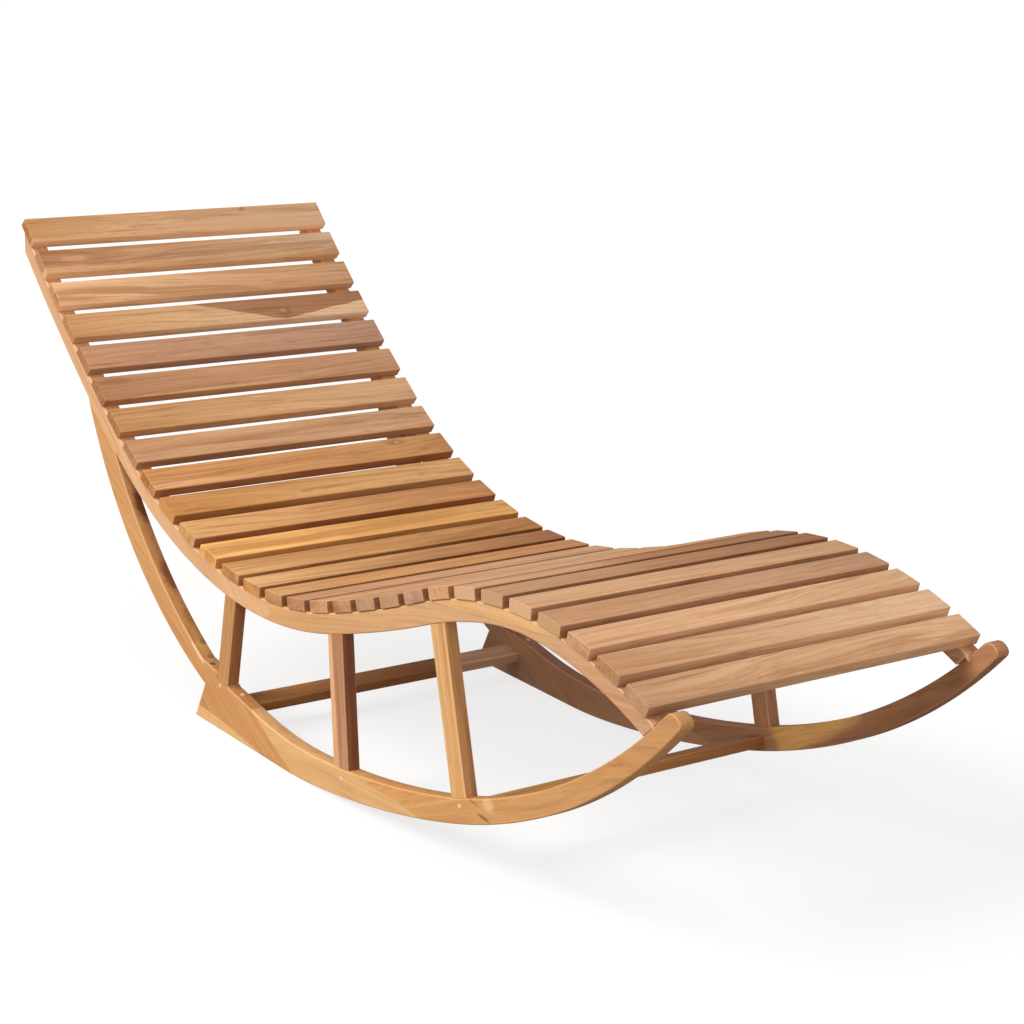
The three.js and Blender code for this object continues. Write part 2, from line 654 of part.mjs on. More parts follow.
const postMortises = Object.values(posts).map(({ mortise }) => mortise).reduce((all, one) => all.add(one));
const allMortises = Object.values(stretcherPlaces).map(stubMortise).reduce((all, one) => all.add(one), postMortises);
const postPieces = Object.fromEntries(Object.entries(posts).map(([name, { post }]) => [name, post]));
const pegPieces = Object.fromEntries(Object.entries(posts).map(([name, joint]) => [`${name}_peg`, joint.peg]));
const framePieces = { ...railPieces(postMortises), ...runnerPieces(allMortises), ...postPieces, ...pegPieces };
const frameWoods = {
  knee_crest: PALE_WOOD,
  heel_wedge: PALE_WOOD,
  rear_arm: RUNNER_WOOD,
  rear_runner: RUNNER_WOOD,
  front_runner: RUNNER_WOOD,
  rear_post: POST_WOOD,
  middle_post: POST_WOOD,
  front_post: POST_WOOD,
  rear_post_peg: PEG_WOOD,
  middle_post_peg: PEG_WOOD,
  front_post_peg: PEG_WOOD,
};

// Assembly

function addMesh(parent, name, geometry, material) {
  const mesh = new THREE.Mesh(geometry, material);
  mesh.name = name;
  parent.add(mesh);
  return mesh;
}

// Lays a bar along Y in the side plane, at a middle and a slope.
function lay(mesh, middle, angle) {
  mesh.position.set(middle.x, 0, middle.y);
  mesh.rotation.y = -angle;
}

const lounger = new THREE.Group();
lounger.rotation.y = -REST_LEAN;

const frameGeometries = Object.entries(framePieces).map(([name, solid]) => [name, geometryOf(solid)]);
for (const [side, facing] of [["right", 1], ["left", -1]]) {
  const frame = new THREE.Group();
  frame.position.y = -facing * FRAME_Y;
  frame.scale.y = facing;
  lounger.add(frame);
  for (const [name, geometry] of frameGeometries) {
    addMesh(frame, `${side}_${name}`, geometry, frameWoods[name] ?? RAIL_WOOD);
  }
}

const stretcherGeometry = stretcher();
for (const [name, { middle, angle }] of Object.entries(stretcherPlaces)) {
  lay(addMesh(lounger, name, stretcherGeometry, STRETCHER_WOOD), middle, angle);
}

const [backSlat, seatSlat] = [BACK_SLAT_WIDTH, SEAT_SLAT_WIDTH].map((width) =>
  boardGeometry(roundedSection(width, SLAT_THICKNESS, SLAT_EDGE_RADIUS), OVERALL_WIDTH, SLAT_END_EASE),
);
slatPlaces.forEach((place, index) => {
  const name = `slat_${String(index + 1).padStart(2, "0")}`;
  const geometry = index < BACK_SLATS ? backSlat : seatSlat;
  const slat = addMesh(lounger, name, geometry, SLAT_WOODS[index % SLAT_WOODS.length]);
  lay(slat, onSlat(place, 0, SLAT_THICKNESS / 2), place.angle);
});

// Stood on the floor, with the middle of its length over the origin
const box = new THREE.Box3().setFromObject(lounger, true);
lounger.position.set(-(box.min.x + box.max.x) / 2, 0, -box.min.z);
const group = new THREE.Group();
group.add(lounger);

export default group;
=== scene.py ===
"""Rocking chaise lounge of oiled teak: boards cut, eased and dressed as wood over the solid model.

The side plane is laid out in millimetres with the runners' lowest point on the floor, then leaned back to
the lounger's balanced rest, as the solid model is. Blender's own units are metres.
"""

import logging
import math
from dataclasses import dataclass, field
from enum import Enum
from typing import Callable, Iterable, Sequence

import bmesh
import bpy
from bpy.types import ID, Material, Mesh, Node, NodeSocket, Object, World
from mathutils import Matrix, Vector
from mathutils.geometry import delaunay_2d_cdt


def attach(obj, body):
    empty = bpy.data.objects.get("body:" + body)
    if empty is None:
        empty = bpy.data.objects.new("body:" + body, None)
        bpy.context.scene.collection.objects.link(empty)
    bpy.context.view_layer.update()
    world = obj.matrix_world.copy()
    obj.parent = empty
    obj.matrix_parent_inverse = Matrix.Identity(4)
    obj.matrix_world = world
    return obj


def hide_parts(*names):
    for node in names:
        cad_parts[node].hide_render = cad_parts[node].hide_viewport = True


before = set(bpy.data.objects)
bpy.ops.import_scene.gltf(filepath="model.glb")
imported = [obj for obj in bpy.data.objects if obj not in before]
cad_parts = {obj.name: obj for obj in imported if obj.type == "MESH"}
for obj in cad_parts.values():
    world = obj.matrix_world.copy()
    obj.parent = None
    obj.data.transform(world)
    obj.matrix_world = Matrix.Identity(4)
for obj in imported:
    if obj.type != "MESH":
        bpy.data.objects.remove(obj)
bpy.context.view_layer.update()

log = logging.getLogger("lounger")

MM = 0.001
BODY = "root"

# Where the laid-out side plane stands in the model: leaned back, then moved over the origin
REST_LEAN = 80 / 880
REST_SHIFT = Vector((46.9064, 0.0, 1.0919))
LEAN = Matrix.Rotation(-REST_LEAN, 4, "Y")
TO_REST = Matrix.Scale(MM, 4) @ Matrix.Translation(REST_SHIFT) @ LEAN

THROUGH = Vector((0.0, 1.0, 0.0))
CORNER_STEPS = 8
BAR_STEPS = 5
PLUG_SIDES = 28
FAR = 2500.0
SEAM_REACH = 30.0
CREASE = math.radians(33)
WHITE = (1.0, 1.0, 1.0, 1.0)

# Factors on a tone: for dark and light grain, warmer zones, end grain, and painted shade and painted light on
# narrow sides
DARK = (0.66, 0.53, 0.44)
LIGHT = (1.18, 1.20, 1.22)
WARM = (1.05, 0.93, 0.82)
END_WARM = (0.82, 0.64, 0.48)
SIDE_PAINTED_SHADE = (0.51, 0.34, 0.27)
SIDE_PAINTED_LIGHT = (1.32, 1.44, 1.62)

# How much of it end grain takes, where it is warmer or paler, and how pale the eased edges are, as wear and as
# a painted highlight
END_SHARE, END_PALE, EDGE_WEAR_AND_HIGHLIGHT = 0.5, -0.7, 0.55

# Noises of the grain: how fine they are along it and across it, then scale, detail and roughness
ZONES = (0.9, 24.0, 1.0, 2.0, 0.5)
STREAKS = (3.6, 150.0, 1.0, 4.0, 0.62)
FIBRES = (17.0, 420.0, 1.0, 3.0, 0.65)
HUES = (1.1, 17.0, 1.3, 1.0, 0.5)

# How the grain sways: how finely, and how far in metres; and how far the streaks push the rings
SWAY_FINENESS, SWAY_REACH, RING_PUSH = (1.7, 7.0, 7.0), (0.0, 0.07, 0.07), 5.0

# How the edges of areas, and the rims of knots and spots of painted shade, wander: scale, detail and reach
AREA_WANDER, SPOT_WANDER = (26.0, 3.0, 7.0), (160.0, 3.0, 0.7)

# Where a knot or a spot of painted shade is full, as a share of its reach, and a knot's rings: how many and how
# deep
SPOT_CORE, KNOT_RINGS, KNOT_RING_DEPTH = 0.45, 17.0, 0.22

# How closely a face looks along a way to count as flat, as a narrow side or as a bar's eased edge
FLAT_FACE, NARROW_SIDE, BAR_EDGE, BAR_EDGE_TILT = 0.999, 0.8, (0.25, 0.97), 0.2

Outline = list[Vector]
Pair = tuple[float, float]
Triple = tuple[float, float, float]


def srgb(code: str) -> tuple[float, float, float, float]:
    """A colour written as a # and six sRGB hex digits, as linear red, green, blue and an alpha of 1."""
    parts = [int(code[i : i + 2], 16) / 255 for i in (1, 3, 5)]
    return (*(c / 12.92 if c <= 0.04045 else ((c + 0.055) / 1.055) ** 2.4 for c in parts), 1.0)


def in_model(way: Vector) -> Vector:
    """The unit way in the model of a way in the laid-out frame."""
    return (TO_REST.to_3x3() @ way).normalized()


def placed(name: str, data: ID) -> Object:
    """Puts a new object in the scene.

    Args:
        name: Its name.
        data: Its mesh, lamp or camera.

    Returns:
        The object.
    """
    made = bpy.data.objects.new(name, data)
    bpy.context.scene.collection.objects.link(made)
    return made


class Tone(Enum):
    """The tones that the boards were sorted into."""

    SAPWOOD = "#e9c19a"
    PALE = "#e2b285"
    GOLD = "#deae76"
    BRIGHT_GOLD = "#efb870"
    GOLDEN = "#d9a265"
    LIGHT_TAN = "#d8a677"
    STRAW = "#d6a67c"
    WHEAT = "#d0a06a"
    ORANGE = "#d19a63"
    CARAMEL = "#cf935c"
    AMBER = "#cf9660"
    PINK_TAN = "#cfa07a"
    SANDY = "#c89c75"
    DUSKY = "#c1967b"
    ROSE = "#c59573"
    WARM_TAN = "#c28f5d"
    BUFF = "#b98e69"
    HONEY = "#be8549"
    PINK_BROWN = "#bf8c69"
    CINNAMON = "#b07e58"
    HEARTWOOD = "#a8734f"
    RED_BROWN = "#a66c49"
    RUSSET = "#a76e44"
    PEG = "#ecd3ab"


class Side(Enum):
    """The lounger's sides, by the way along Y that their outer faces look."""

    RIGHT = -1.0
    LEFT = 1.0


class Beyond(Enum):
    """The side of a seam that a region lies on: towards the head, over it or under it."""

    HEAD = (-1.0, 0.0)
    OVER = (0.0, 1.0)
    UNDER = (0.0, -1.0)


# Curves in the side plane


@dataclass(frozen=True)
class Arc:
    """A stretch of a curve: its length, and its radius, negative where it turns down."""

    length: float
    radius: float = math.inf


@dataclass(frozen=True)
class SideCurve:
    """A curve in the side plane: its lowest point, and its arcs from there to the foot and to the head."""

    low: Pair
    to_foot: tuple[Arc, ...]
    to_head: tuple[Arc, ...]

    def at(self, distance: float, rise: float = 0.0) -> Vector:
        """The point at a distance along the curve.

        Args:
            distance: Length from the lowest point, negative towards the head.
            rise: Height above the curve, square to it.

        Returns:
            X and height.
        """
        side = -1 if distance < 0 else 1
        arcs = self.to_head if side < 0 else self.to_foot
        left = abs(distance)
        along = up = slope = 0.0
        for index, arc in enumerate(arcs):
            step = left if index == len(arcs) - 1 else min(left, arc.length)
            turn = step / arc.radius
            chord = step if math.isinf(arc.radius) else 2 * arc.radius * math.sin(turn / 2)
            along += chord * math.cos(slope + turn / 2)
            up += chord * math.sin(slope + turn / 2)
            slope += turn
            left -= step
        x = self.low[0] + side * (along - rise * math.sin(slope))
        return Vector((x, self.low[1] + up + rise * math.cos(slope)))


@dataclass(frozen=True)
class Taper:
    """A size that runs smoothly through its stops, each (distance, size)."""

    stops: tuple[Pair, ...]

    def _steepness(self, index: int) -> float:
        """The slope at a stop, from its neighbours."""
        before, after = self.stops[max(index - 1, 0)], self.stops[min(index + 1, len(self.stops) - 1)]
        return (after[1] - before[1]) / (after[0] - before[0])

    def at(self, distance: float) -> float:
        """The size at a place.

        Args:
            distance: Distance along the curve.

        Returns:
            The size.
        """
        place = min(max(distance, self.stops[0][0]), self.stops[-1][0])
        index = max(i for i, stop in enumerate(self.stops[:-1]) if stop[0] <= place)
        (start, low), (end, high) = self.stops[index], self.stops[index + 1]
        span = end - start
        u = (place - start) / span
        entry = u * (1 - u) ** 2 * span * self._steepness(index)
        leave = u * u * (u - 1) * span * self._steepness(index + 1)
        return low + (high - low) * u * u * (3 - 2 * u) + entry + leave


def stations(start: float, end: float, step: float = 7.0) -> list[float]:
    """Distances from one to the other, about a step apart."""
    count = max(1, round(abs(end - start) / step))
    return [start + (end - start) * i / count for i in range(count + 1)]


def toward(angle: float, length: float) -> Vector:
    """A step of a length at an angle in the side plane."""
    return Vector((math.cos(angle), math.sin(angle))) * length


def angle_of(way: Vector) -> float:
    """The angle of a step in the side plane."""
    return math.atan2(way.y, way.x)


def in_side(angle: float) -> Vector:
    """The unit way at an angle in the side plane, in three dimensions."""
    return Vector((math.cos(angle), 0.0, math.sin(angle)))


def arc_between(start: Vector, end: Vector, radius: float) -> Outline:
    """The arc from one point to another that bulges to the left of that way.

    Args:
        start: Where it begins.
        end: Where it ends.
        radius: Its radius.

    Returns:
        Its points.
    """
    chord = end - start
    half = math.asin(chord.length / 2 / radius)
    middle = angle_of(chord) + math.pi / 2
    centre = (start + end) / 2 - toward(middle, radius * math.cos(half))
    return [centre + toward(middle - arc / radius, radius) for arc in stations(-half * radius, half * radius)]


def round_corner(before: Vector, corner: Vector, after: Vector, radius: float) -> Outline:
    """Rounds the corner between two straight edges.

    Args:
        before: A point on the edge that comes in.
        corner: The corner.
        after: A point on the edge that goes out.
        radius: Radius of the rounding.

    Returns:
        The points of the rounding.
    """
    into, out = (before - corner).normalized(), (after - corner).normalized()
    half = math.acos(max(-1.0, min(1.0, into.dot(out)))) / 2
    centre = corner + (into + out).normalized() * (radius / math.sin(half))
    ends = [angle_of(corner + way * (radius / math.tan(half)) - centre) for way in (into, out)]
    sweep = math.remainder(ends[1] - ends[0], 2 * math.pi)
    return [centre + toward(ends[0] + sweep * i / CORNER_STEPS, radius) for i in range(CORNER_STEPS + 1)]


def rounded_bar(width: float, height: float, radius: float) -> Outline:
    """The outline of a bar's section with rounded corners, centred on zero.

    Args:
        width: Its width.
        height: Its height.
        radius: Radius of its corners.

    Returns:
        Its points.
    """
    x, y = width / 2 - radius, height / 2 - radius
    return [
        Vector(centre) + toward((quarter + i / BAR_STEPS) * math.pi / 2, radius)
        for quarter, centre in enumerate([(x, y), (-x, y), (-x, -y), (x, -y)])
        for i in range(BAR_STEPS + 1)
    ]


# Wood


@dataclass(frozen=True)
class Spot:
    """A knot, a dark patch or a spot of painted shade in a board, with its middle and its reach each way in the
    laid-out frame.

    The colour is sRGB hex, and the strength is how much of it shows, from 0 to 1.
    """

    place: Triple
    reach: Triple
    colour: str
    strength: float
    ringed: bool = False


@dataclass(frozen=True)
class Figure:
    """A part of a board's face with its own tone, such as a heartwood wedge, a pale sapwood edge, a painted
    highlight or a patch of painted light.

    Each straight edge runs from a point to a point with the part on its left. A point is (along, across) in
    millimetres from the board's middle. Strength is from 0 to 1, and soft is how far the edges blend.
    """

    edges: tuple[tuple[Pair, Pair], ...]
    tone: Tone
    strength: float
    soft: float = 1.5


@dataclass(frozen=True)
class Lay:
    """How a board lies in the laid-out frame: its middle, and the unit ways along and across it."""

    middle: Vector
    along: Vector
    across: Vector


class Nodes:
    """Short names for building the nodes of a material or a world."""

    def __init__(self, holder: Material | World) -> None:
        """Starts from an empty tree.

        Args:
            holder: What the nodes are for.
        """
        holder.use_nodes = True
        self.tree = holder.node_tree
        self.tree.nodes.clear()

    def add(self, kind: str, inputs: dict[str | int, object] | None = None, **settings: object) -> Node:
        """Adds a node.

        Args:
            kind: Node type without its ShaderNode prefix.
            inputs: Values or sockets for its inputs, by name or index.
            **settings: The node's own settings.

        Returns:
            The node.
        """
        node = self.tree.nodes.new("ShaderNode" + kind)
        for name, value in settings.items():
            setattr(node, name, value)
        for key, value in (inputs or {}).items():
            if isinstance(value, NodeSocket):
                self.tree.links.new(value, node.inputs[key])
            else:
                node.inputs[key].default_value = value
        return node

    def attribute(self, name: str, output: str) -> NodeSocket:
        """A mesh attribute."""
        return self.add("Attribute", attribute_name=name).outputs[output]

    def math(self, operation: str, *values: object) -> NodeSocket:
        """A Math node's result."""
        return self.add("Math", dict(enumerate(values)), operation=operation).outputs[0]

    def times(self, value: object, factor: object) -> NodeSocket:
        """A value times a factor."""
        return self.math("MULTIPLY", value, factor)

    def vector(self, operation: str, *values: object) -> NodeSocket:
        """A Vector Math node's result, which is a number where it measures."""
        node = self.add("VectorMath", dict(enumerate(values)), operation=operation)
        return node.outputs["Value" if operation in ("LENGTH", "DOT_PRODUCT") else "Vector"]

    def noise(self, at: NodeSocket, scale: float, detail: float, rough: float = 0.55) -> NodeSocket:
        """A noise from 0 to 1 at a place."""
        values = {"Vector": at, "Scale": scale, "Detail": detail, "Roughness": rough}
        return self.add("TexNoise", values).outputs["Fac"]

    def wander(self, at: NodeSocket, scale: float, detail: float, reach: float) -> NodeSocket:
        """A noise about zero, as wide as the reach."""
        return self.times(self.math("SUBTRACT", self.noise(at, scale, detail), 0.5), reach)

    def drawn(self, at: NodeSocket, along: float, across: float, *settings: float) -> NodeSocket:
        """A noise drawn out along the grain, with its own scale, detail and roughness."""
        return self.noise(self.vector("MULTIPLY", at, (along, across, across)), *settings)

    def ramp(self, value: NodeSocket, low: float, high: float) -> NodeSocket:
        """A value spread smoothly to 0 at low and 1 at high."""
        values = {"Value": value, "From Min": low, "From Max": high}
        return self.add("MapRange", values, interpolation_type="SMOOTHSTEP").outputs["Result"]

    def mix(self, share: object, one: object, other: object, blend: str = "MIX") -> NodeSocket:
        """A mix of two colours."""
        return self.add("Mix", {0: share, 6: one, 7: other}, data_type="RGBA", blend_type=blend).outputs[2]

    def tint(self, colour: NodeSocket, by: Triple) -> NodeSocket:
        """A colour times a factor for each of red, green and blue."""
        return self.mix(1.0, colour, (*by, 1.0), "MULTIPLY")


@dataclass(frozen=True)
class Teak:
    """Oiled teak that follows each board's own grain and tone.

    Streaks, growth rings, broad zones and short pores each have a strength. The ring width is in millimetres,
    and the lay is how the board lies that the figures are on.
    """

    name: str
    streaks: float = 0.5
    rings: float = 0.3
    zones: float = 0.5
    pores: float = 0.55
    ring_width: float = 7.0
    spots: tuple[Spot, ...] = ()
    figures: tuple[Figure, ...] = ()
    lay: Lay | None = None

    def material(self, lay: Lay | None = None) -> Material:
        """Makes the material, which reads the boards' grain, tone and edge attributes.

        Args:
            lay: How the board lies, where the teak doesn't say it.

        Returns:
            The material.
        """
        made = bpy.data.materials.new(self.name)
        n = Nodes(made)
        grain, tone = n.attribute("grain", "Vector"), n.attribute("tone", "Color")
        end, edge, shade = (n.attribute(name, "Fac") for name in ("end_grain", "eased", "shade"))
        tone = self._with_areas(n, tone, self.lay or lay)

        slow = n.vector("MULTIPLY", grain, SWAY_FINENESS)
        sway = n.add("TexNoise", {"Vector": slow, "Scale": 1.0, "Detail": 2.0}).outputs["Color"]
        bend = n.vector("MULTIPLY", n.vector("SUBTRACT", sway, (0.5, 0.5, 0.5)), SWAY_REACH)
        bent = n.vector("ADD", bend, grain)
        zone, streak, fibre, hue = (n.drawn(bent, *noise) for noise in (ZONES, STREAKS, FIBRES, HUES))
        radius = n.vector("LENGTH", n.vector("MULTIPLY", bent, (0.0, 1.0, 1.0)))
        turns = n.times(radius, 2 * math.pi / (MM * self.ring_width))
        ring = n.math("SINE", n.math("ADD", turns, n.times(streak, RING_PUSH)))

        dark, light = n.tint(tone, DARK), n.tint(tone, LIGHT)
        colour = tone
        # Each layer: where its noise starts to show and shows fully, how strongly, and in which colour
        for value, low, high, strength, other in (
            (zone, 0.50, 0.68, self.zones, dark),
            (zone, 0.49, 0.34, self.zones, light),
            (hue, 0.44, 0.70, 0.6, n.tint(tone, WARM)),
            (ring, 0.1, 1.0, self.rings, dark),
            (streak, 0.51, 0.72, self.streaks, dark),
            (streak, 0.48, 0.29, self.streaks, light),
            (fibre, 0.53, 0.74, self.pores, dark),
        ):
            colour = n.mix(n.times(n.ramp(value, low, high), strength), colour, other)
        colour = n.mix(n.times(end, END_SHARE), colour, n.tint(colour, END_WARM))
        colour = n.mix(n.times(end, END_PALE), colour, light)
        # Painted shade darkens the narrow sides, and painted light lightens them where the shade is below zero
        colour = n.mix(shade, colour, n.tint(colour, SIDE_PAINTED_SHADE))
        colour = n.mix(n.times(shade, -1.0), colour, n.tint(colour, SIDE_PAINTED_LIGHT))
        # Eased edges are made paler, partly as wear and partly as a painted highlight
        colour = self._with_spots(n, n.mix(n.times(edge, EDGE_WEAR_AND_HIGHLIGHT), colour, light))

        height = n.math("ADD", n.times(streak, 0.5), n.times(fibre, 0.6))
        bump = n.add("Bump", {"Strength": 0.12, "Distance": 0.0006, "Height": height}).outputs[0]
        rough = n.math("ADD", n.times(streak, 0.16), 0.48)
        values = {"Base Color": colour, "Roughness": rough, "Normal": bump, "Specular IOR Level": 0.32}
        n.add("OutputMaterial", {"Surface": n.add("BsdfPrincipled", values).outputs[0]})
        return made

    def _with_areas(self, n: Nodes, colour: NodeSocket, lay: Lay | None) -> NodeSocket:
        """Lays the figures over a colour.

        Args:
            n: The material's nodes.
            colour: The colour so far.
            lay: How the board lies, or None where it has no figures.

        Returns:
            The colour with figures.
        """
        if not lay:
            return colour
        place = n.add("TexCoord").outputs["Object"]
        away = n.vector("SUBTRACT", place, TO_REST @ lay.middle)
        along, across = (n.vector("DOT_PRODUCT", away, in_model(way) / MM) for way in (lay.along, lay.across))
        wander = n.wander(place, *AREA_WANDER)
        for area in self.figures:
            share = area.strength
            for start, end in area.edges:
                way = (Vector(end) - Vector(start)).normalized()
                inward = Vector((-way.y, way.x))
                side = n.math("ADD", n.times(along, inward.x), n.times(across, inward.y))
                deep = n.math("ADD", n.math("SUBTRACT", side, Vector(start).dot(inward)), wander)
                share = n.times(n.ramp(deep, -area.soft, area.soft), share)
            colour = n.mix(share, colour, srgb(area.tone.value))
        return colour

    def _with_spots(self, n: Nodes, colour: NodeSocket) -> NodeSocket:
        """Lays the knots, dark patches and spots of painted shade over a colour.

        Args:
            n: The material's nodes.
            colour: The colour so far.

        Returns:
            The colour with knots.
        """
        place = n.add("TexCoord").outputs["Object"]
        wander = n.wander(place, *SPOT_WANDER)
        for spot in self.spots:
            away = n.vector("SUBTRACT", place, TO_REST @ Vector(spot.place))
            turned = n.add("VectorRotate", {"Vector": away, "Angle": -REST_LEAN}, rotation_type="Y_AXIS")
            scale = tuple(1 / (MM * reach) for reach in spot.reach)
            ragged = n.math("ADD", n.vector("LENGTH", n.vector("MULTIPLY", turned.outputs[0], scale)), wander)
            share = n.times(n.ramp(ragged, 1.0, SPOT_CORE), spot.strength)
            if spot.ringed:
                ripple = n.math("SINE", n.times(ragged, KNOT_RINGS))
                deep = n.math("ADD", n.times(ripple, KNOT_RING_DEPTH), 1 - KNOT_RING_DEPTH)
                share = n.times(share, deep)
            colour = n.mix(share, colour, srgb(spot.colour))
        return colour


@dataclass(frozen=True)
class Grain:
    """How a board lies in its log: unit ways along the grain and across the board, and a seed for its place."""

    along: Vector
    across: Vector
    seed: int

    def place(self, point: Vector) -> Vector:
        """Where a point of the board lies in the log, in metres.

        Args:
            point: The point in the laid-out frame, in millimetres.

        Returns:
            Its place along the grain, and across and through it from the pith.
        """
        # The seed spreads the boards' tilts, and their places in the log beside and below the pith
        tilt = 0.012 * (self.seed * 3 % 7 - 3)
        beside, below = 0.05 + 0.013 * (self.seed * 7 % 9), 0.03 + 0.011 * (self.seed * 5 % 7)
        length, width = point.dot(self.along), point.dot(self.across)
        own = Vector((length, width + tilt * length, point.dot(self.along.cross(self.across)))) * MM
        return own + Vector((3.7 * self.seed % 11, beside, below))


def loft(name: str, rings: Sequence[Outline], caps: Iterable[Sequence[int]]) -> Mesh:
    """A closed mesh through rings of points.

    Args:
        name: Its name.
        rings: The rings, from one end to the other.
        caps: The faces that fill either end, as places in a ring.

    Returns:
        The mesh.
    """
    work = bmesh.new()
    made = [[work.verts.new(point) for point in ring] for ring in rings]
    for ring, after in zip(made, made[1:]):
        for corners in zip(ring, ring[1:] + ring[:1], after[1:] + after[:1], after):
            work.faces.new(corners)
    for cap in caps:
        for ring in (made[0], made[-1]):
            work.faces.new([ring[i] for i in cap])
    bmesh.ops.recalc_face_normals(work, faces=work.faces)
    mesh = bpy.data.meshes.new(name)
    work.to_mesh(mesh)
    work.free()
    return mesh


@dataclass
class Board:
    """A board cut to an outline, with eased edges.

    Attributes:
        outline: Its outline in the plane of its faces, in millimetres.
        ease: Radius of its eased edges.
        plane: Matrix from the outline's plane (x, thickness, y) to the laid-out frame.
        tone: Its colour where the grain starts.
        far_tone: Its colour where the grain ends, or None for the same.
        shade: Painted shade that darkens its narrow sides, and painted light that lightens them where it is
            below zero.
        end: How much warmer its end grain is, or paler where it is below zero.
        rounds: How many stretches each eased edge has.
        square: Whether the edge from one point of the outline to the next stays square.
        keep: Regions of the plane that the piece is cut to.
        drop: Regions of the plane that are cut away.
    """

    name: str
    outline: Outline
    thickness: float
    ease: float
    plane: Matrix
    grain: Grain
    tone: Tone
    far_tone: Tone | None = None
    shade: float = 0.0
    end: float = 0.4
    rounds: int = 3
    square: Callable[[Vector, Vector], bool] = field(default=lambda start, end: False)
    keep: Sequence[Outline] = ()
    drop: Sequence[Outline] = ()

    @property
    def level(self) -> Vector:
        """The unit way through the board, in the laid-out frame."""
        return self.plane.to_3x3() @ THROUGH

    def _in_model(self, points: Outline, height: float) -> Outline:
        """Points of the board's plane at a height over it, in the model."""
        return [TO_REST @ self.plane @ Vector((q.x, height, q.y)) for q in points]

    def _rings(self) -> list[Pair]:
        """Spaces the rings of the board from one face to the other.

        Returns:
            The inset share and the height of each.
        """
        turns = [math.pi / 2 * i / self.rounds for i in range(self.rounds + 1)]
        near = [(1 - math.sin(turn), self.ease * (1 - math.cos(turn)) - self.thickness / 2) for turn in turns]
        return near + [(inset, -height) for inset, height in reversed(near)]

    def _inset(self, points: Outline, share: float) -> Outline:
        """An outline moved in by a share of the ease.

        Args:
            points: The outline.
            share: The share, from 0 to 1.

        Returns:
            The moved points, one for each point.
        """
        square_ease, straight = 0.15, 0.02
        following = points[1:] + points[:1]
        facing = 1 if sum(a.x * b.y - b.x * a.y for a, b in zip(points, following)) > 0 else -1
        lines = []
        for a, b in zip(points, following):
            way = (b - a).normalized()
            reach = share * (square_ease if self.square(a, b) else self.ease)
            inward = Vector((-way.y, way.x)) * facing * reach
            lines.append((a + inward, way, inward))
        made = []
        for index, point in enumerate(points):
            base, way, inward = lines[index - 1]
            other, other_way, other_inward = lines[index]
            cross = way.x * other_way.y - way.y * other_way.x
            gap = other - base
            if abs(cross) < straight:
                made.append(point + (inward + other_inward) / 2)
            else:
                made.append(base + way * ((gap.x * other_way.y - gap.y * other_way.x) / cross))
        return made

    def _clean(self) -> Outline:
        """Leaves out doubled points, and points that would fold over in an eased corner.

        Returns:
            The outline without them.
        """
        doubled, tries = 0.05, 40
        befores = self.outline[-1:] + self.outline[:-1]
        points = [q for q, before in zip(self.outline, befores) if (q - before).length > doubled]
        for _ in range(tries):
            moved = self._inset(points, 1.0)
            count = len(points)
            pairs = [(i, (i + 1) % count) for i in range(count)]
            folded = [(i, k) for i, k in pairs if (moved[k] - moved[i]).dot(points[k] - points[i]) < 0]
            if not folded:
                break
            gone = {min(ends, key=lambda k: self._turn(points, k)) for ends in folded}
            points = [q for i, q in enumerate(points) if i not in gone]
        return points

    @staticmethod
    def _turn(points: Outline, index: int) -> float:
        """How sharply an outline turns at a point."""
        before, here, after = points[index - 1], points[index], points[(index + 1) % len(points)]
        return abs(math.remainder(angle_of(after - here) - angle_of(here - before), 2 * math.pi))

    def _solid(self) -> Mesh:
        """Makes the whole board, before it is cut.

        Returns:
            Its mesh in the model's frame.
        """
        outline = self._clean()
        rings = [self._in_model(self._inset(outline, share), height) for share, height in self._rings()]
        rim = [(i, (i + 1) % len(outline)) for i in range(len(outline))]
        filled = delaunay_2d_cdt(self._inset(outline, 1.0), rim, [], 1, 1e-4)
        faces, sources = filled[2], filled[3]
        return loft(self.name, rings, [[sources[corner][0] for corner in face] for face in faces])

    def _cutter(self, region: Outline) -> Object:
        """A prism over a region of the board's plane, for cutting."""
        ends = [self._in_model(region, height) for height in (-self.thickness, self.thickness)]
        return placed("cutter", loft("cutter", ends, [range(len(region))]))

    def _cut(self, whole: Mesh) -> Mesh:
        """Cuts the board to its regions.

        Args:
            whole: The mesh of the whole board.

        Returns:
            The piece's mesh.
        """
        steps = [(region, "INTERSECT") for region in self.keep]
        steps += [(region, "DIFFERENCE") for region in self.drop]
        if not steps:
            return whole
        holder = placed("whole", whole)
        cutters = []
        for region, operation in steps:
            cutters.append(self._cutter(region))
            change = holder.modifiers.new("cut", "BOOLEAN")
            change.object, change.operation, change.solver = cutters[-1], operation, "EXACT"
        bpy.context.view_layer.update()
        graph = bpy.context.evaluated_depsgraph_get()
        mesh = bpy.data.meshes.new_from_object(holder.evaluated_get(graph))
        mesh.name = self.name
        for spare in (holder, *cutters):
            bpy.data.objects.remove(spare)
        return mesh

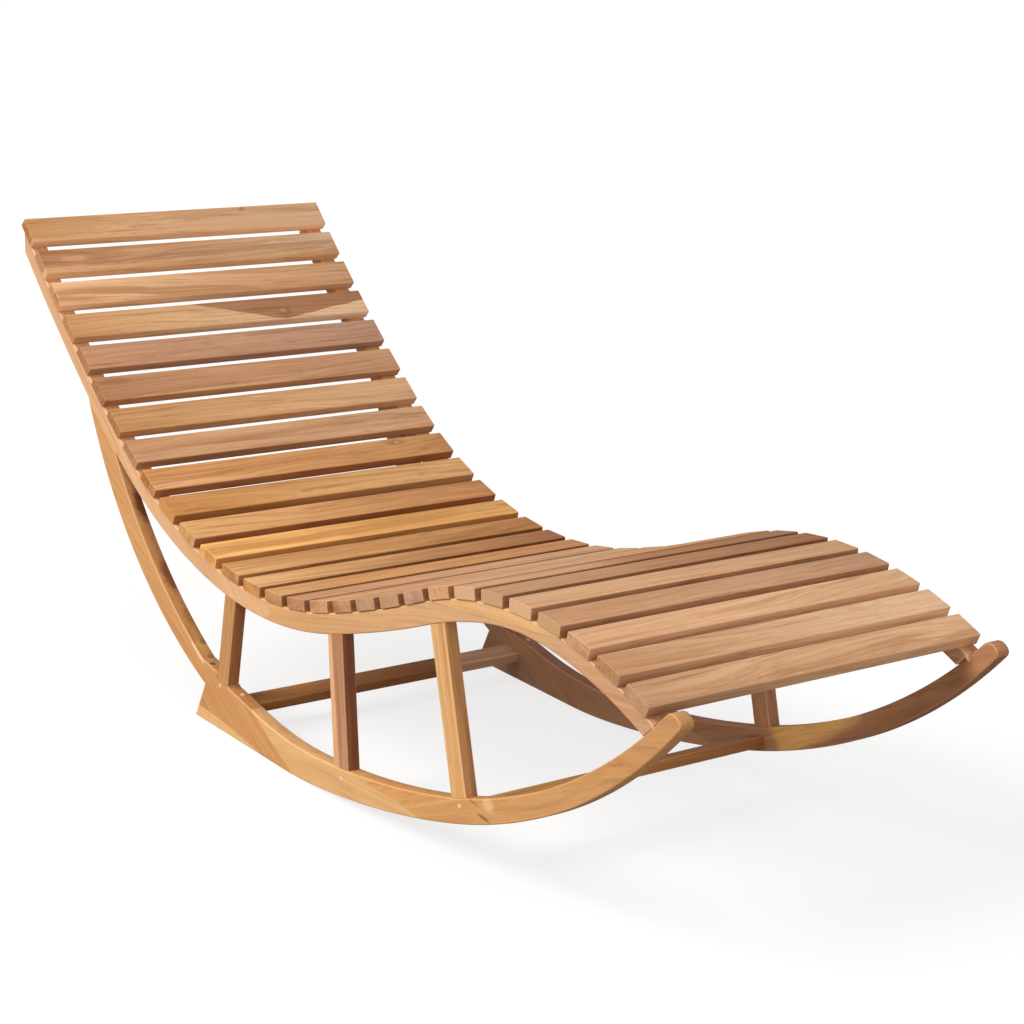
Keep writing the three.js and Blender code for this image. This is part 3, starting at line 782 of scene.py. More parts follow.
    def _dress(self, mesh: Mesh) -> None:
        """Gives a mesh its grain, tone, end grain and eased edges, and sharp creases.

        Args:
            mesh: The piece's mesh.
        """
        back, flat = TO_REST.inverted(), (TO_REST @ self.plane).inverted()
        along, across, level = (in_model(way) for way in (self.grain.along, self.grain.across, self.level))
        bar = abs(self.level.dot(self.grain.along)) > NARROW_SIDE
        work = bmesh.new()
        work.from_mesh(mesh)
        bmesh.ops.dissolve_degenerate(work, edges=work.edges, dist=1e-6)
        grain_layer = work.verts.layers.float_vector.new("grain")
        tone_layer = work.verts.layers.float_color.new("tone")
        eased_layer = work.faces.layers.float.new("eased")
        shade_layer = work.faces.layers.float.new("shade")
        end_layer = work.faces.layers.float.new("end_grain")
        near, far = (Vector(srgb(tone.value)) for tone in (self.tone, self.far_tone or self.tone))
        lengths = [vertex.co.dot(along) for vertex in work.verts]
        start, span = min(lengths), max(lengths) - min(lengths)
        for vertex, length in zip(work.verts, lengths):
            vertex[grain_layer] = self.grain.place(back @ vertex.co)
            vertex[tone_layer] = near.lerp(far, (length - start) / span)
        almost = 0.97
        edge_at = self.thickness / 2 - self.ease * almost
        for face in work.faces:
            lengthwise, sideways, facing = (abs(face.normal.dot(way)) for way in (along, across, level))
            cap = facing > FLAT_FACE
            depth = abs((flat @ face.calc_center_median()).y)
            arris = bar and BAR_EDGE[0] < sideways < BAR_EDGE[1] and lengthwise < BAR_EDGE_TILT
            # Eased edges, which the material paints paler as wear and as a painted highlight
            face[eased_layer] = 1.0 if not cap and (depth > edge_at or arris) else 0.0
            # Painted shade on the narrow sides, and painted light where the value is below zero
            face[shade_layer] = self.shade if sideways > NARROW_SIDE else 0.0
            face[end_layer] = lengthwise**3 * self.end
            face.smooth = not cap
        for edge in work.edges:
            if len(edge.link_faces) == 2:
                edge.smooth = edge.calc_face_angle(0.0) < CREASE
        work.to_mesh(mesh)
        work.free()

    def build(self, material: Material, slot: str, nodes: Sequence[str]) -> Object:
        """Makes the piece and puts it in place of its solids.

        Args:
            material: Its wood.
            slot: The record's material slot; not used.
            nodes: The solids that it stands for.

        Returns:
            The object.
        """
        mesh = self._cut(self._solid())
        self._dress(mesh)
        mesh.materials.clear()
        mesh.materials.append(material)
        piece = placed(self.name, mesh)
        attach(piece, BODY)
        if nodes:
            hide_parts(*nodes)
        return piece


def side_plane(y: float) -> Matrix:
    """The plane of a side frame's board, whose middle lies at y."""
    return Matrix.Translation((0.0, y, 0.0))


def bar_plane(middle: Vector, angle: float, y: float = 0.0) -> Matrix:
    """The plane of a section laid across the lounger, at a middle and a slope in the side plane."""
    return Matrix.Translation((middle.x, y, middle.y)) @ Matrix.Rotation(-angle, 4, "Y")


def side_grain(angle: float, seed: int) -> Grain:
    """The grain of a side frame's board that runs at an angle."""
    return Grain(in_side(angle), in_side(angle + math.pi / 2), seed)


def bar_lay(middle: Vector, angle: float) -> Lay:
    """How a bar across the lounger lies, from its middle and slope in the side plane."""
    return Lay(Vector((middle.x, 0.0, middle.y)), THROUGH, in_side(angle))


def side_lay(x: float, height: float, angle: float) -> Lay:
    """How a board of a side frame lies, from its middle and its slope."""
    return Lay(Vector((x, 0.0, height)), in_side(angle), in_side(angle + math.pi / 2))


@dataclass(frozen=True)
class Profile:
    """The curves and sizes that the lounger's pieces share, in millimetres."""

    seat: SideCurve = SideCurve(
        (-61.0, 283.0),
        (Arc(138, 679), Arc(262, 2318), Arc(321, -597), Arc(320, -730)),
        (Arc(168, 679), Arc(357, 766), Arc(480, 3211)),
    )
    runner: SideCurve = SideCurve(
        (28.0, 0.0), (Arc(367, 1826), Arc(229, 1137), Arc(342, 861)), (Arc(80, 880), Arc(268))
    )
    overall_width: float = 600.0
    back_slat_width: float = 51.5
    seat_slat_width: float = 48.5
    slat_thickness: float = 18.5
    slat_overhang: float = 3.0
    back_slats: int = 13
    seat_slats: int = 16
    back_pitch: float = 69.6
    seat_pitch: float = 64.1
    last_slat_ahead: float = 895.6
    rail_thickness: float = 29.5
    runner_thickness: float = 24.0
    gap: float = 0.3
    heel_behind: float = 348.0
    heel_slope: float = math.radians(61)
    tip_ahead: float = 938.0
    rail_depths: Taper = Taper(
        ((-990.95, 28), (-500, 30), (0, 31), (250, 32.5), (480, 32.5), (630, 26), (919.85, 26))
    )
    runner_depths: Taper = Taper(
        ((-348, 80), (-266, 80), (-113, 55), (91, 44.5), (402, 37.5), (714, 34), (938, 28))
    )

    @property
    def seat_depth(self) -> float:
        """How far the rails' tops lie below the seat line."""
        return self.slat_thickness + self.gap

    @property
    def frame_y(self) -> float:
        """How far the side frames' middles stand from the lounger's middle."""
        return self.overall_width / 2 - self.slat_overhang - self.runner_thickness / 2

    @property
    def slatted(self) -> Pair:
        """The distances along the seat line from the first slat's head edge to the last one's foot edge."""
        last = self.last_slat_ahead
        first = last - self.seat_slats * self.seat_pitch - (self.back_slats - 1) * self.back_pitch
        return first - self.back_slat_width / 2, last + self.seat_slat_width / 2

    def in_rail(self, distance: float, share: float) -> Vector:
        """A point at a share of the rail's depth below its top."""
        return self.seat.at(distance, -self.seat_depth - share * self.rail_depths.at(distance))

    def in_runner(self, distance: float, share: float) -> Vector:
        """A point at a share of the runner's depth above its sole."""
        return self.runner.at(distance, share * self.runner_depths.at(distance))

    def heel_face(self, height: float) -> Vector:
        """A point up the heel's back face from its bottom corner."""
        return self.runner.at(-self.heel_behind) + toward(self.heel_slope, height)

    def slat_width(self, index: int) -> float:
        """A slat's width: those of the back are a little wider."""
        return self.back_slat_width if index < self.back_slats else self.seat_slat_width

    def slat_place(self, index: int) -> tuple[Vector, float]:
        """Where a slat lies.

        Args:
            index: Its number from the head, from 0.

        Returns:
            The middle of its top face, and its slope.
        """
        steps = index - (self.back_slats - 1)
        step = steps * (self.back_pitch if steps < 0 else self.seat_pitch)
        middle = self.last_slat_ahead - self.seat_slats * self.seat_pitch + step
        half = self.slat_width(index) / 2
        start, end = self.seat.at(middle - half), self.seat.at(middle + half)
        return (start + end) / 2, angle_of(end - start)

    def on_slat(self, index: int, along: float, below: float) -> Vector:
        """A point of a slat's section or of the rail under it."""
        middle, angle = self.slat_place(index)
        return middle + toward(angle, along) + toward(angle - math.pi / 2, below)


@dataclass(frozen=True)
class Timber:
    """A slat's timber: its colour at the right end and at the left, and its painted shade and end as in a
    board.
    """

    near: Tone
    far: Tone
    shade: float
    end: float


@dataclass
class Slats:
    """The slats across the rails, from the head to the foot; the special woods go by number, from 1."""

    profile: Profile
    timbers: Sequence[Timber]
    plain: Material
    special: dict[int, Teak]
    edge_radius: float = 2.2
    end_ease: float = 0.9

    def build(self) -> Iterable[Object]:
        """Builds the slats one by one.

        Yields:
            Each slat's object.
        """
        p = self.profile
        for index, timber in enumerate(self.timbers):
            _, angle = p.slat_place(index)
            middle = p.on_slat(index, 0.0, p.slat_thickness / 2)
            name = f"slat_{index + 1:02d}"
            outline = rounded_bar(p.slat_width(index), p.slat_thickness, self.edge_radius)
            grain = Grain(THROUGH, in_side(angle), 3 * index + 1)
            board = Board(
                f"{name}_board", outline, p.overall_width, self.end_ease, bar_plane(middle, angle), grain,
                timber.near, timber.far, timber.shade, timber.end, rounds=2,
            )
            special = self.special.get(index + 1)
            wood = special.material(bar_lay(middle, angle)) if special else self.plain
            yield board.build(wood, "slat_wood", [name])


@dataclass(frozen=True)
class Post:
    """A post: its width, its places along runner and rail, its peg's drop and offset, and the painted shade on
    its sides.
    """

    name: str
    width: float
    foot: float
    head: float
    peg_drop: float
    peg_aside: float
    shade: float


@dataclass(frozen=True)
class Plug:
    """A round plug: its radius, its length and the ease of its rims."""

    radius: float
    length: float
    ease: float


@dataclass
class SideFrame:
    """A side frame: a scarfed rail with its crest, a scarfed runner with its arm and wedge, and three posts.

    Attributes:
        first_seed: Where its boards start in the logs.
        woods: The woods by piece.
        tones: The tones of its boards, and of the foot end of a board under its name and "_tip".
        shades: Painted shade that darkens the narrow sides of its boards.
        sole_bend: Where the sole's straight tail ends, as a distance.
        top_edge: How far behind the tip the runner's top edge starts, and the distance where it ends.
        hip_scarf: A seam of the rail, as crest_seam is: places as (distance, share of the depth).
        heel_scarf: A seam of the runner, as front_scarf is.
        wedge: Height up the heel, distance along the sole and radius of the seam over the heel wedge.
        landing: Where the runner's tip carries the rail, as distances.
        arm_step: The step behind the rear post, as (distance, height over the sole).
        arm_root: Where the arm's inner curve starts, in the same way.
        arm_top: Where the arm joins the rail, as distances.
        arm_heel: How high up the heel the arm's outer curve starts.
        arm_radii: Radii of its inner curve and its outer.
        arm_gap_way: The angle at which the arm's end stays off the rail, in radians.
        boards: Each board's grain slope in degrees and material slot.
    """

    profile: Profile
    side: Side
    first_seed: int
    woods: dict[str, Material]
    tones: dict[str, Tone]
    shades: dict[str, float]
    ease: float = 2.2
    post_thickness: float = 22.0
    post_ease: float = 1.8
    toe: float = 21.0
    toe_depth: float = 26.0
    toe_radius: float = 8.0
    head_cut: float = 4.0
    tip_radii: Pair = (9.0, 16.0)
    sole_bend: float = -80.0
    top_edge: Pair = (26.0, -247.0)
    hip_scarf: tuple[Pair, ...] = ((-76, 0.0), (-34, 0.2), (-11, 0.46), (-29, 1.0))
    crest_seam: tuple[Pair, ...] = ((415, 0.0), (735, 0.0))
    heel_scarf: tuple[Pair, ...] = ((-178, 1.0), (-48, 0.0))
    front_scarf: tuple[Pair, ...] = ((112, 1.0), (245, 0.44), (298, 0.0))
    wedge: Triple = (23.0, -134.0, 1150.0)
    landing: Pair = (930.0, 760.0)
    arm_step: tuple[Pair, ...] = ((-249, 80), (-262, 94), (-282, 94))
    arm_root: Pair = (-330, 102)
    arm_top: Pair = (-523, -640)
    arm_heel: float = 68.0
    arm_radii: Pair = (850.0, 788.0)
    arm_gap_way: float = 0.6
    plug_at: float = -222.0
    plug: Plug = Plug(3.6, 6.0, 0.4)
    plug_proud: float = 0.4
    peg: Plug = Plug(3.4, 15.0, 0.5)
    peg_proud: float = 0.25
    posts: tuple[Post, ...] = (
        Post("rear_post", 32.0, -266.0, -129.0, 6.0, 6.0, 0.55),
        Post("middle_post", 39.0, 91.0, 157.0, 15.0, 0.0, 0.9),
        Post("front_post", 35.0, 402.0, 427.0, 11.0, 0.0, 0.45),
    )
    boards: tuple[tuple[str, float, str], ...] = (
        ("back_rail", 132, "rail_wood"),
        ("seat_rail", 7, "rail_wood"),
        ("knee_crest", -4, "pale_wood"),
        ("rear_arm", 146, "runner_wood"),
        ("heel_wedge", -7, "pale_wood"),
        ("rear_runner", 1, "runner_wood"),
        ("front_runner", 20, "runner_wood"),
    )

    @property
    def y(self) -> float:
        """The Y of the frame's middle plane."""
        return self.side.value * self.profile.frame_y

    def _name(self, piece: str) -> str:
        """The full name of a piece of this side."""
        return f"{self.side.name.lower()}_{piece}"

    def _rail(self) -> Outline:
        """Draws the whole rail: a flat seat for each slat, a rounded toe and a plumb head end.

        Returns:
            Its outline.
        """
        p = self.profile
        places = [(index, side) for index in range(p.back_slats + p.seat_slats) for side in (-1, 1)]
        seats = [p.on_slat(index, side * p.slat_width(index) / 2, p.seat_depth) for index, side in places]
        ahead = p.seat_slat_width / 2 + self.toe
        toe, end = (p.on_slat(places[-1][0], ahead, p.seat_depth + depth) for depth in (0.0, self.toe_depth))
        nose = round_corner(seats[-1], toe, end, self.toe_radius)
        landing = [p.in_runner(s, 1.0) + Vector((0.0, p.gap)) for s in stations(*self.landing, 2.0)]
        head_edge, foot_edge = p.slatted
        under = [p.in_rail(s, 1.0) for s in stations(foot_edge, head_edge)]
        clear = [q for q in under if q.y > self._height(landing, q.x)]
        front = self._meeting(nose[-1], end, landing)
        heel = self._meeting(clear[0], clear[0] * 2 - clear[1], landing)
        apart = 1.0
        touch = [q for q in landing if heel.x + apart < q.x < front.x - apart]
        head_x = seats[0].x + self.head_cut
        behind = [q for q in clear if q.x > head_x]
        top = seats[0] + (seats[1] - seats[0]) * (self.head_cut / (seats[1].x - seats[0].x))
        return [top, *seats[1:], *nose, front, *touch, heel, *behind, self._at_x(clear, head_x)]

    @staticmethod
    def _height(line: Outline, x: float) -> float:
        """The height of a line at an x, or far below where it has none."""
        near, reach = min(line, key=lambda q: abs(q.x - x)), 4.0
        return near.y if abs(near.x - x) < reach else -math.inf

    @staticmethod
    def _meeting(start: Vector, end: Vector, line: Outline) -> Vector:
        """Where the straight line from one point on through another meets a curve."""
        steps, reach = 100, 4
        places = [start + (end - start) * (i / steps) for i in range(reach * steps)]
        return min(places, key=lambda q: min((q - other).length for other in line))

    @staticmethod
    def _at_x(points: Outline, x: float) -> Vector:
        """The point of a falling line at an x.

        Args:
            points: The line.
            x: The x.

        Returns:
            The point.
        """
        before = max((q for q in points if q.x <= x), key=lambda q: q.x)
        after = min((q for q in points if q.x > x), key=lambda q: q.x)
        return before + (after - before) * ((x - before.x) / (after.x - before.x))

    def _runner(self) -> Outline:
        """Draws the whole runner with its heel and arm.

        Returns:
            Its outline.
        """
        p = self.profile
        sole = [p.runner.at(s) for s in (-p.heel_behind, *stations(self.sole_bend, p.tip_ahead))]
        tip_top = p.in_runner(p.tip_ahead, 1.0)
        top = [p.in_runner(s, 1.0) for s in stations(p.tip_ahead - self.top_edge[0], self.top_edge[1])]
        under_tip = round_corner(sole[-3], sole[-1], tip_top, self.tip_radii[0])
        over_tip = round_corner(sole[-1], tip_top, top[0], self.tip_radii[1])
        step = [p.runner.at(*place) for place in self.arm_step]
        inner_end, outer_end = (p.in_rail(s, 1.0) for s in self.arm_top)
        inner = arc_between(p.runner.at(*self.arm_root), inner_end, self.arm_radii[0])
        head = [p.in_rail(s, 1.0) - toward(self.arm_gap_way, p.gap) for s in stations(*self.arm_top)]
        outer = arc_between(p.heel_face(self.arm_heel), outer_end, self.arm_radii[1])
        return [*sole[:-3], *under_tip, *over_tip, *top, *step, *inner[:-1], *head, *reversed(outer[:-1])]

    @staticmethod
    def _region(seam: Outline, shrink: float, side: Beyond) -> Outline:
        """The region on one side of a seam, which runs on past both its ends.

        Args:
            seam: The seam, from top to bottom where the region is towards the head, else from head to foot.
            shrink: How far the region stays off the seam.
            side: The side.

        Returns:
            The region's outline.
        """
        first = seam[0] + (seam[0] - seam[1]).normalized() * SEAM_REACH
        last = seam[-1] + (seam[-1] - seam[-2]).normalized() * SEAM_REACH
        way = Vector(side.value)
        moved = [q + way * shrink for q in (first, *seam, last)]
        if side is Beyond.HEAD:
            corners = [(moved[-1].x, -FAR), (-FAR, -FAR), (-FAR, FAR), (moved[0].x, FAR)]
        else:
            corners = [(moved[-1].x, way.y * FAR), (moved[0].x, way.y * FAR)]
        return [*moved, *(Vector(corner) for corner in corners)]

    def _cuts(self) -> dict[str, tuple[Sequence[Outline], Sequence[Outline]]]:
        """Lays out the seams between the boards.

        Returns:
            The regions that each board keeps and drops.
        """
        p = self.profile
        hip, crest = ([p.in_rail(*place) for place in seam] for seam in (self.hip_scarf, self.crest_seam))
        heel, front = ([p.in_runner(*place) for place in seam] for seam in (self.heel_scarf, self.front_scarf))
        height, toe, radius = self.wedge
        wedge = arc_between(p.heel_face(height), p.runner.at(toe), radius)
        notch, _ = self._post_outline(self.posts[0], p.gap)
        head, over, under = Beyond.HEAD, Beyond.OVER, Beyond.UNDER
        kept, dropped = (
            [
                self._region(seam, shrink, side)
                for seam, side in ((hip, head), (crest, over), (heel, head), (wedge, under), (front, head))
            ]
            for shrink in (p.gap / 2, -p.gap / 2)
        )
        return {
            "back_rail": ([kept[0]], []),
            "seat_rail": ([], dropped[:2]),
            "knee_crest": ([kept[1]], []),
            "rear_arm": ([kept[2]], [dropped[3], notch]),
            "heel_wedge": ([kept[3]], []),
            "rear_runner": ([kept[4]], [dropped[2]]),
            "front_runner": ([], [dropped[4]]),
        }

    def build(self) -> Iterable[Object]:
        """Builds the frame's boards, posts, pegs and plug.

        Yields:
            Each piece's object.
        """
        p = self.profile
        rail, runner, cuts = self._rail(), self._runner(), self._cuts()
        for seed, (name, slope, slot) in enumerate(self.boards, self.first_seed):
            on_rail = name in ("back_rail", "seat_rail", "knee_crest")
            outline, thickness = (rail, p.rail_thickness) if on_rail else (runner, p.runner_thickness)
            plane = side_plane(self.y - self.side.value * (thickness - p.runner_thickness) / 2)
            grain = side_grain(math.radians(slope), seed)
            keep, drop = cuts[name]
            board = Board(
                self._name(f"{name}_board"), outline, thickness, self.ease, plane, grain, self.tones[name],
                self.tones.get(f"{name}_tip"), self.shades.get(name, 0.0), keep=keep, drop=drop,
            )
            yield board.build(self.woods.get(name, self.woods["frame"]), slot, [self._name(name)])
        post_seed, peg_seed, plug_seed = (self.first_seed + step for step in (20, 27, 30))
        for index, post in enumerate(self.posts):
            yield self._post(post, post_seed + index)
            yield self._peg(post, peg_seed + index)
        yield self._top_plug(plug_seed)

    def _post_outline(self, post: Post, grown: float) -> tuple[Outline, float]:
        """Draws a post from the runner's top to the rail's underside.

        Args:
            post: Its sizes.
            grown: How much wider each side is made.

        Returns:
            Its outline and the angle of its way up.
        """
        p = self.profile
        foot, head = p.in_runner(post.foot, 1.0), p.in_rail(post.head, 1.0)
        way = (head - foot).normalized()
        aside = Vector((way.y, -way.x)) * (post.width / 2 + grown)
        at_foot = [self._drop(start, way, p.in_runner, post.foot) for start in (foot - aside, foot + aside)]
        at_head = [self._drop(start, way, p.in_rail, post.head) for start in (head + aside, head - aside)]
        return at_foot + at_head, angle_of(way)

    @staticmethod
    def _drop(start: Vector, way: Vector, curve: Callable[[float, float], Vector], about: float) -> Vector:
        """Where a post's edge meets a curve.

        Args:
            start: A point on the edge.
            way: The edge's unit way.
            curve: The curve, by distance and share of the depth.
            about: A distance near the meeting.

        Returns:
            The meeting point.
        """
        across, reach, step = Vector((way.y, -way.x)), 45, 0.5
        tries = stations(about - reach, about + reach, step)
        near = min(tries, key=lambda s: abs((curve(s, 1.0) - start).dot(across)))
        return start + way * (curve(near, 1.0) - start).dot(way)

    def _post(self, post: Post, seed: int) -> Object:
        """Builds a post, cut to the runner's top and the rail's underside.

        Args:
            post: Its sizes.
            seed: Its place in the log.

        Returns:
            Its object.
        """
        outline, angle = self._post_outline(post, 0.0)
        flush = self.side.value * (self.profile.runner_thickness - self.post_thickness) / 2
        board = Board(
            self._name(f"{post.name}_board"), outline, self.post_thickness, self.post_ease,
            side_plane(self.y + flush), side_grain(angle, seed), self.tones[post.name], shade=post.shade,
            square=lambda start, end: abs((end - start).normalized().dot(toward(angle, 1.0))) < 0.8,
        )
        wood = self.woods.get(post.name, self.woods["post"])
        return board.build(wood, "post_wood", [self._name(post.name)])

    def _round(self, name: str, plug: Plug, plane: Matrix, grain: Grain, *nodes: str) -> Object:
        """Builds a round plug.

        Args:
            name: Its name.
            plug: Its sizes.
            plane: The plane of its rims.
            grain: How it lies in the log.
            *nodes: The solids that it stands for.

        Returns:
            Its object.
        """
        outline = [toward(2 * math.pi * i / PLUG_SIDES, plug.radius) for i in range(PLUG_SIDES)]
        board = Board(self._name(name), outline, plug.length, plug.ease, plane, grain, Tone.PEG, rounds=2)
        return board.build(self.woods["peg"], "peg_wood", nodes)

    def _peg(self, post: Post, seed: int) -> Object:
        """Builds the peg that pins a post's foot, a little proud of the outer face.

        Args:
            post: The post that it pins.
            seed: Its place in the log.

        Returns:
            Its object.
        """
        p = self.profile
        foot, head = p.in_runner(post.foot, 1.0), p.in_rail(post.head, 1.0)
        angle = angle_of(head - foot)
        place = foot - toward(angle, post.peg_drop) + toward(angle + math.pi / 2, post.peg_aside)
        outer = p.overall_width / 2 - p.slat_overhang + self.peg_proud
        plane = bar_plane(place, 0.0, self.side.value * (outer - self.peg.length / 2))
        grain = Grain(THROUGH, in_side(0.0), seed)
        return self._round(f"{post.name}_peg_plug", self.peg, plane, grain, self._name(f"{post.name}_peg"))

    def _top_plug(self, seed: int) -> Object:
        """Builds the plug in the runner's top that pins the rear stretcher's tenon.

        Args:
            seed: Its place in the log.

        Returns:
            Its object.
        """
        at, p, reach = self.plug_at, self.profile, 5
        angle = angle_of(p.in_runner(at + reach, 1.0) - p.in_runner(at - reach, 1.0))
        middle = p.in_runner(at, 1.0) + toward(angle - math.pi / 2, self.plug.length / 2 - self.plug_proud)
        plane = bar_plane(middle, angle, self.y) @ Matrix.Rotation(math.pi / 2, 4, "X")
        grain = Grain(in_side(angle + math.pi / 2), in_side(angle), seed)
        return self._round("stretcher_plug", self.plug, plane, grain)


@dataclass(frozen=True)
class Stretcher:
    """A stretcher: its distance along the runners, its drop below their top, its ends' tones and its wood."""

    name: str
    at: float
    drop: float
    near: Tone
    far: Tone
    wood: Teak


@dataclass
class Stretchers:
    """The stretchers between the runners, laid flat along the runners' slope."""

    profile: Profile
    stretchers: Sequence[Stretcher]
    width: float = 38.0
    thickness: float = 17.0
    edge_radius: float = 2.2
    end_ease: float = 0.3
    # Painted shade on the stretchers' narrow sides
    shade: float = 0.35
    first_seed: int = 200

    def build(self) -> Iterable[Object]:
        """Builds both stretchers.

        Yields:
            Each stretcher's object.
        """
        p = self.profile
        for seed, one in enumerate(self.stretchers, self.first_seed):
            before, after = (p.in_runner(one.at + side * self.width / 2, 1.0) for side in (-1, 1))
            angle = angle_of(after - before)
            top = p.runner.at(one.at, p.runner_depths.at(one.at) - one.drop)
            middle = top + toward(angle - math.pi / 2, self.thickness / 2)
            outline = rounded_bar(self.width, self.thickness, self.edge_radius)
            board = Board(
                f"{one.name}_board", outline, 2 * (p.frame_y - p.runner_thickness / 2 - p.gap), self.end_ease,
                bar_plane(middle, angle), Grain(THROUGH, in_side(angle), seed), one.near, one.far, self.shade,
                rounds=1,
            )
            yield board.build(one.wood.material(bar_lay(middle, angle)), "stretcher_wood", [one.name])


@dataclass(frozen=True)
class Sun:
    """A distant lamp: the way that it shines from, its strength, and its spread in degrees."""

    name: str
    origin: Triple
    strength: float
    spread: float


@dataclass
class Studio:
    """A white floor and backdrop, soft light and the camera where the photograph was taken from.

    Attributes:
        camera_place: The camera's place in the laid-out frame, in millimetres.
        floor_tone: What the floor throws back on the object.
        floor_seen: What the camera sees of the floor's shading, besides its glow.
    """

    camera_place: Triple = (3090.8, -2207.0, 1174.8)
    yaw: float = 53.14
    pitch: float = 11.80
    lens: float = 86.66
    sensor: float = 36.0
    sight: float = 200.0
    floor_reach: float = 40.0
    floor_glow: float = 0.76
    floor_tone: Triple = (0.28, 0.26, 0.24)
    floor_seen: Triple = (0.27, 0.27, 0.27)
    sky: float = 0.40
    sun_colour: Triple = (1.0, 0.985, 0.96)
    suns: tuple[Sun, ...] = (
        Sun("key_light", (-0.20, -0.76, 0.63), 2.70, 30.0),
        Sun("fill_light", (0.90, -0.30, 0.30), 1.10, 45.0),
    )

    def build(self) -> None:
        """Builds the stage, the lights and the camera."""
        self._floor()
        self._world()
        for sun in self.suns:
            self._lamp(sun)
        self._camera()

    def _floor(self) -> None:
        """Lays a white floor that keeps the shadow."""
        mesh = bpy.data.meshes.new("floor")
        reach = self.floor_reach
        corners = [(-reach, -reach, 0.0), (reach, -reach, 0.0), (reach, reach, 0.0), (-reach, reach, 0.0)]
        mesh.from_pydata(corners, [], [(0, 1, 2, 3)])
        made = bpy.data.materials.new("studio_floor")
        n = Nodes(made)
        paper = n.add("BsdfDiffuse", {"Color": (*self.floor_tone, 1.0)})
        glow = n.add("Emission", {"Color": WHITE, "Strength": self.floor_glow})
        faint = n.add("BsdfDiffuse", {"Color": (*self.floor_seen, 1.0)})
        lit = n.add("AddShader", {0: glow.outputs[0], 1: faint.outputs[0]})
        seen = n.add("LightPath").outputs["Is Camera Ray"]
        both = n.add("MixShader", {0: seen, 1: paper.outputs[0], 2: lit.outputs[0]})
        n.add("OutputMaterial", {"Surface": both.outputs[0]})
        mesh.materials.append(made)
        floor = placed("floor", mesh)

    def _world(self) -> None:
        """Lights the studio all round, and shows it white behind the object."""
        world = bpy.data.worlds.new("studio")
        bpy.context.scene.world = world
        n = Nodes(world)
        seen = n.add("LightPath").outputs["Is Camera Ray"]
        strength = n.add("MapRange", {"Value": seen, "To Min": self.sky, "To Max": 1.0}).outputs["Result"]
        background = n.add("Background", {"Color": WHITE, "Strength": strength})
        n.add("OutputWorld", {"Surface": background.outputs[0]})

    def _lamp(self, sun: Sun) -> None:
        """Adds a soft distant lamp.

        Args:
            sun: Its settings.
        """
        lamp = bpy.data.lights.new(sun.name, "SUN")
        lamp.energy, lamp.angle, lamp.color = sun.strength, math.radians(sun.spread), self.sun_colour
        holder = placed(sun.name, lamp)
        holder.rotation_mode = "QUATERNION"
        holder.rotation_quaternion = Vector(sun.origin).to_track_quat("Z", "Y")

    def _camera(self) -> None:
        """Sets the camera, which was found in the laid-out frame."""
        data = bpy.data.cameras.new("camera")
        data.lens, data.sensor_width, data.clip_end = self.lens, self.sensor, self.sight
        camera = placed("camera", data)
        turn = Matrix.Rotation(math.radians(self.yaw), 4, "Z")
        tilt = Matrix.Rotation(math.radians(90 - self.pitch), 4, "X")
        camera.matrix_world = Matrix.Translation(TO_REST @ Vector(self.camera_place)) @ LEAN @ turn @ tilt
        bpy.context.scene.camera = camera


def knot_at(slat: int, along: float, across: float, reach: Pair, *looks: object) -> Spot:
    """A knot in a slat's top face.

    Args:
        slat: The slat's number from the head, from 1.
        along: Its place along the slat from the middle, in millimetres.
        across: Its place across the slat, towards the foot.
        reach: How far it shows along and across.
        *looks: Its colour, its strength and whether it has rings.

    Returns:
        The knot.
    """
    place = Profile().on_slat(slat - 1, across, 0.0)
    return Spot((place.x, along, place.y), (reach[1], reach[0], reach[1]), *looks)


# Each slat's tone at its right end and at its left, the painted shade on its narrow sides (painted light where
# below zero), and its end grain
TIMBERS = (
    Timber(Tone.WARM_TAN, Tone.SAPWOOD, -0.90, 0.6),
    Timber(Tone.CINNAMON, Tone.SAPWOOD, -0.70, -1.4),
    Timber(Tone.PALE, Tone.STRAW, -0.60, 2.0),
    Timber(Tone.WARM_TAN, Tone.SAPWOOD, -0.40, 0.7),
    Timber(Tone.PINK_BROWN, Tone.DUSKY, 0.45, 1.6),
    Timber(Tone.CINNAMON, Tone.PINK_TAN, 0.40, 0.9),
    Timber(Tone.WARM_TAN, Tone.PALE, 0.15, 1.6),
    Timber(Tone.SANDY, Tone.STRAW, 0.60, 1.2),
    Timber(Tone.AMBER, Tone.AMBER, 0.85, 2.0),
    Timber(Tone.HONEY, Tone.GOLD, 0.60, -1.4),
    Timber(Tone.WHEAT, Tone.CARAMEL, 0.95, 0.4),
    Timber(Tone.BRIGHT_GOLD, Tone.BRIGHT_GOLD, 0.65, 0.5),
    Timber(Tone.WHEAT, Tone.HONEY, 0.80, 1.3),
    Timber(Tone.GOLD, Tone.RUSSET, 0.90, 2.0),
    Timber(Tone.WHEAT, Tone.CARAMEL, 0.90, 0.5),
    Timber(Tone.PINK_BROWN, Tone.PALE, 0.90, 0.7),
    Timber(Tone.STRAW, Tone.PALE, 0.90, 0.9),
    Timber(Tone.SANDY, Tone.PALE, 0.90, 0.8),
    Timber(Tone.BUFF, Tone.STRAW, 0.90, -0.4),
    Timber(Tone.BUFF, Tone.PALE, 0.90, -0.8),
    Timber(Tone.DUSKY, Tone.AMBER, 0.90, -0.2),
    Timber(Tone.STRAW, Tone.CARAMEL, 0.90, 0.4),
    Timber(Tone.SANDY, Tone.BUFF, 0.80, -1.4),
    Timber(Tone.BUFF, Tone.RUSSET, 0.70, -1.4),
    Timber(Tone.SANDY, Tone.STRAW, 0.60, -1.4),
    Timber(Tone.BUFF, Tone.ROSE, 0.50, -1.4),
    Timber(Tone.PINK_TAN, Tone.PALE, 0.10, 0.7),
    Timber(Tone.BUFF, Tone.SAPWOOD, 0.00, 0.7),
    Timber(Tone.BUFF, Tone.PALE, 0.00, -0.5),
)
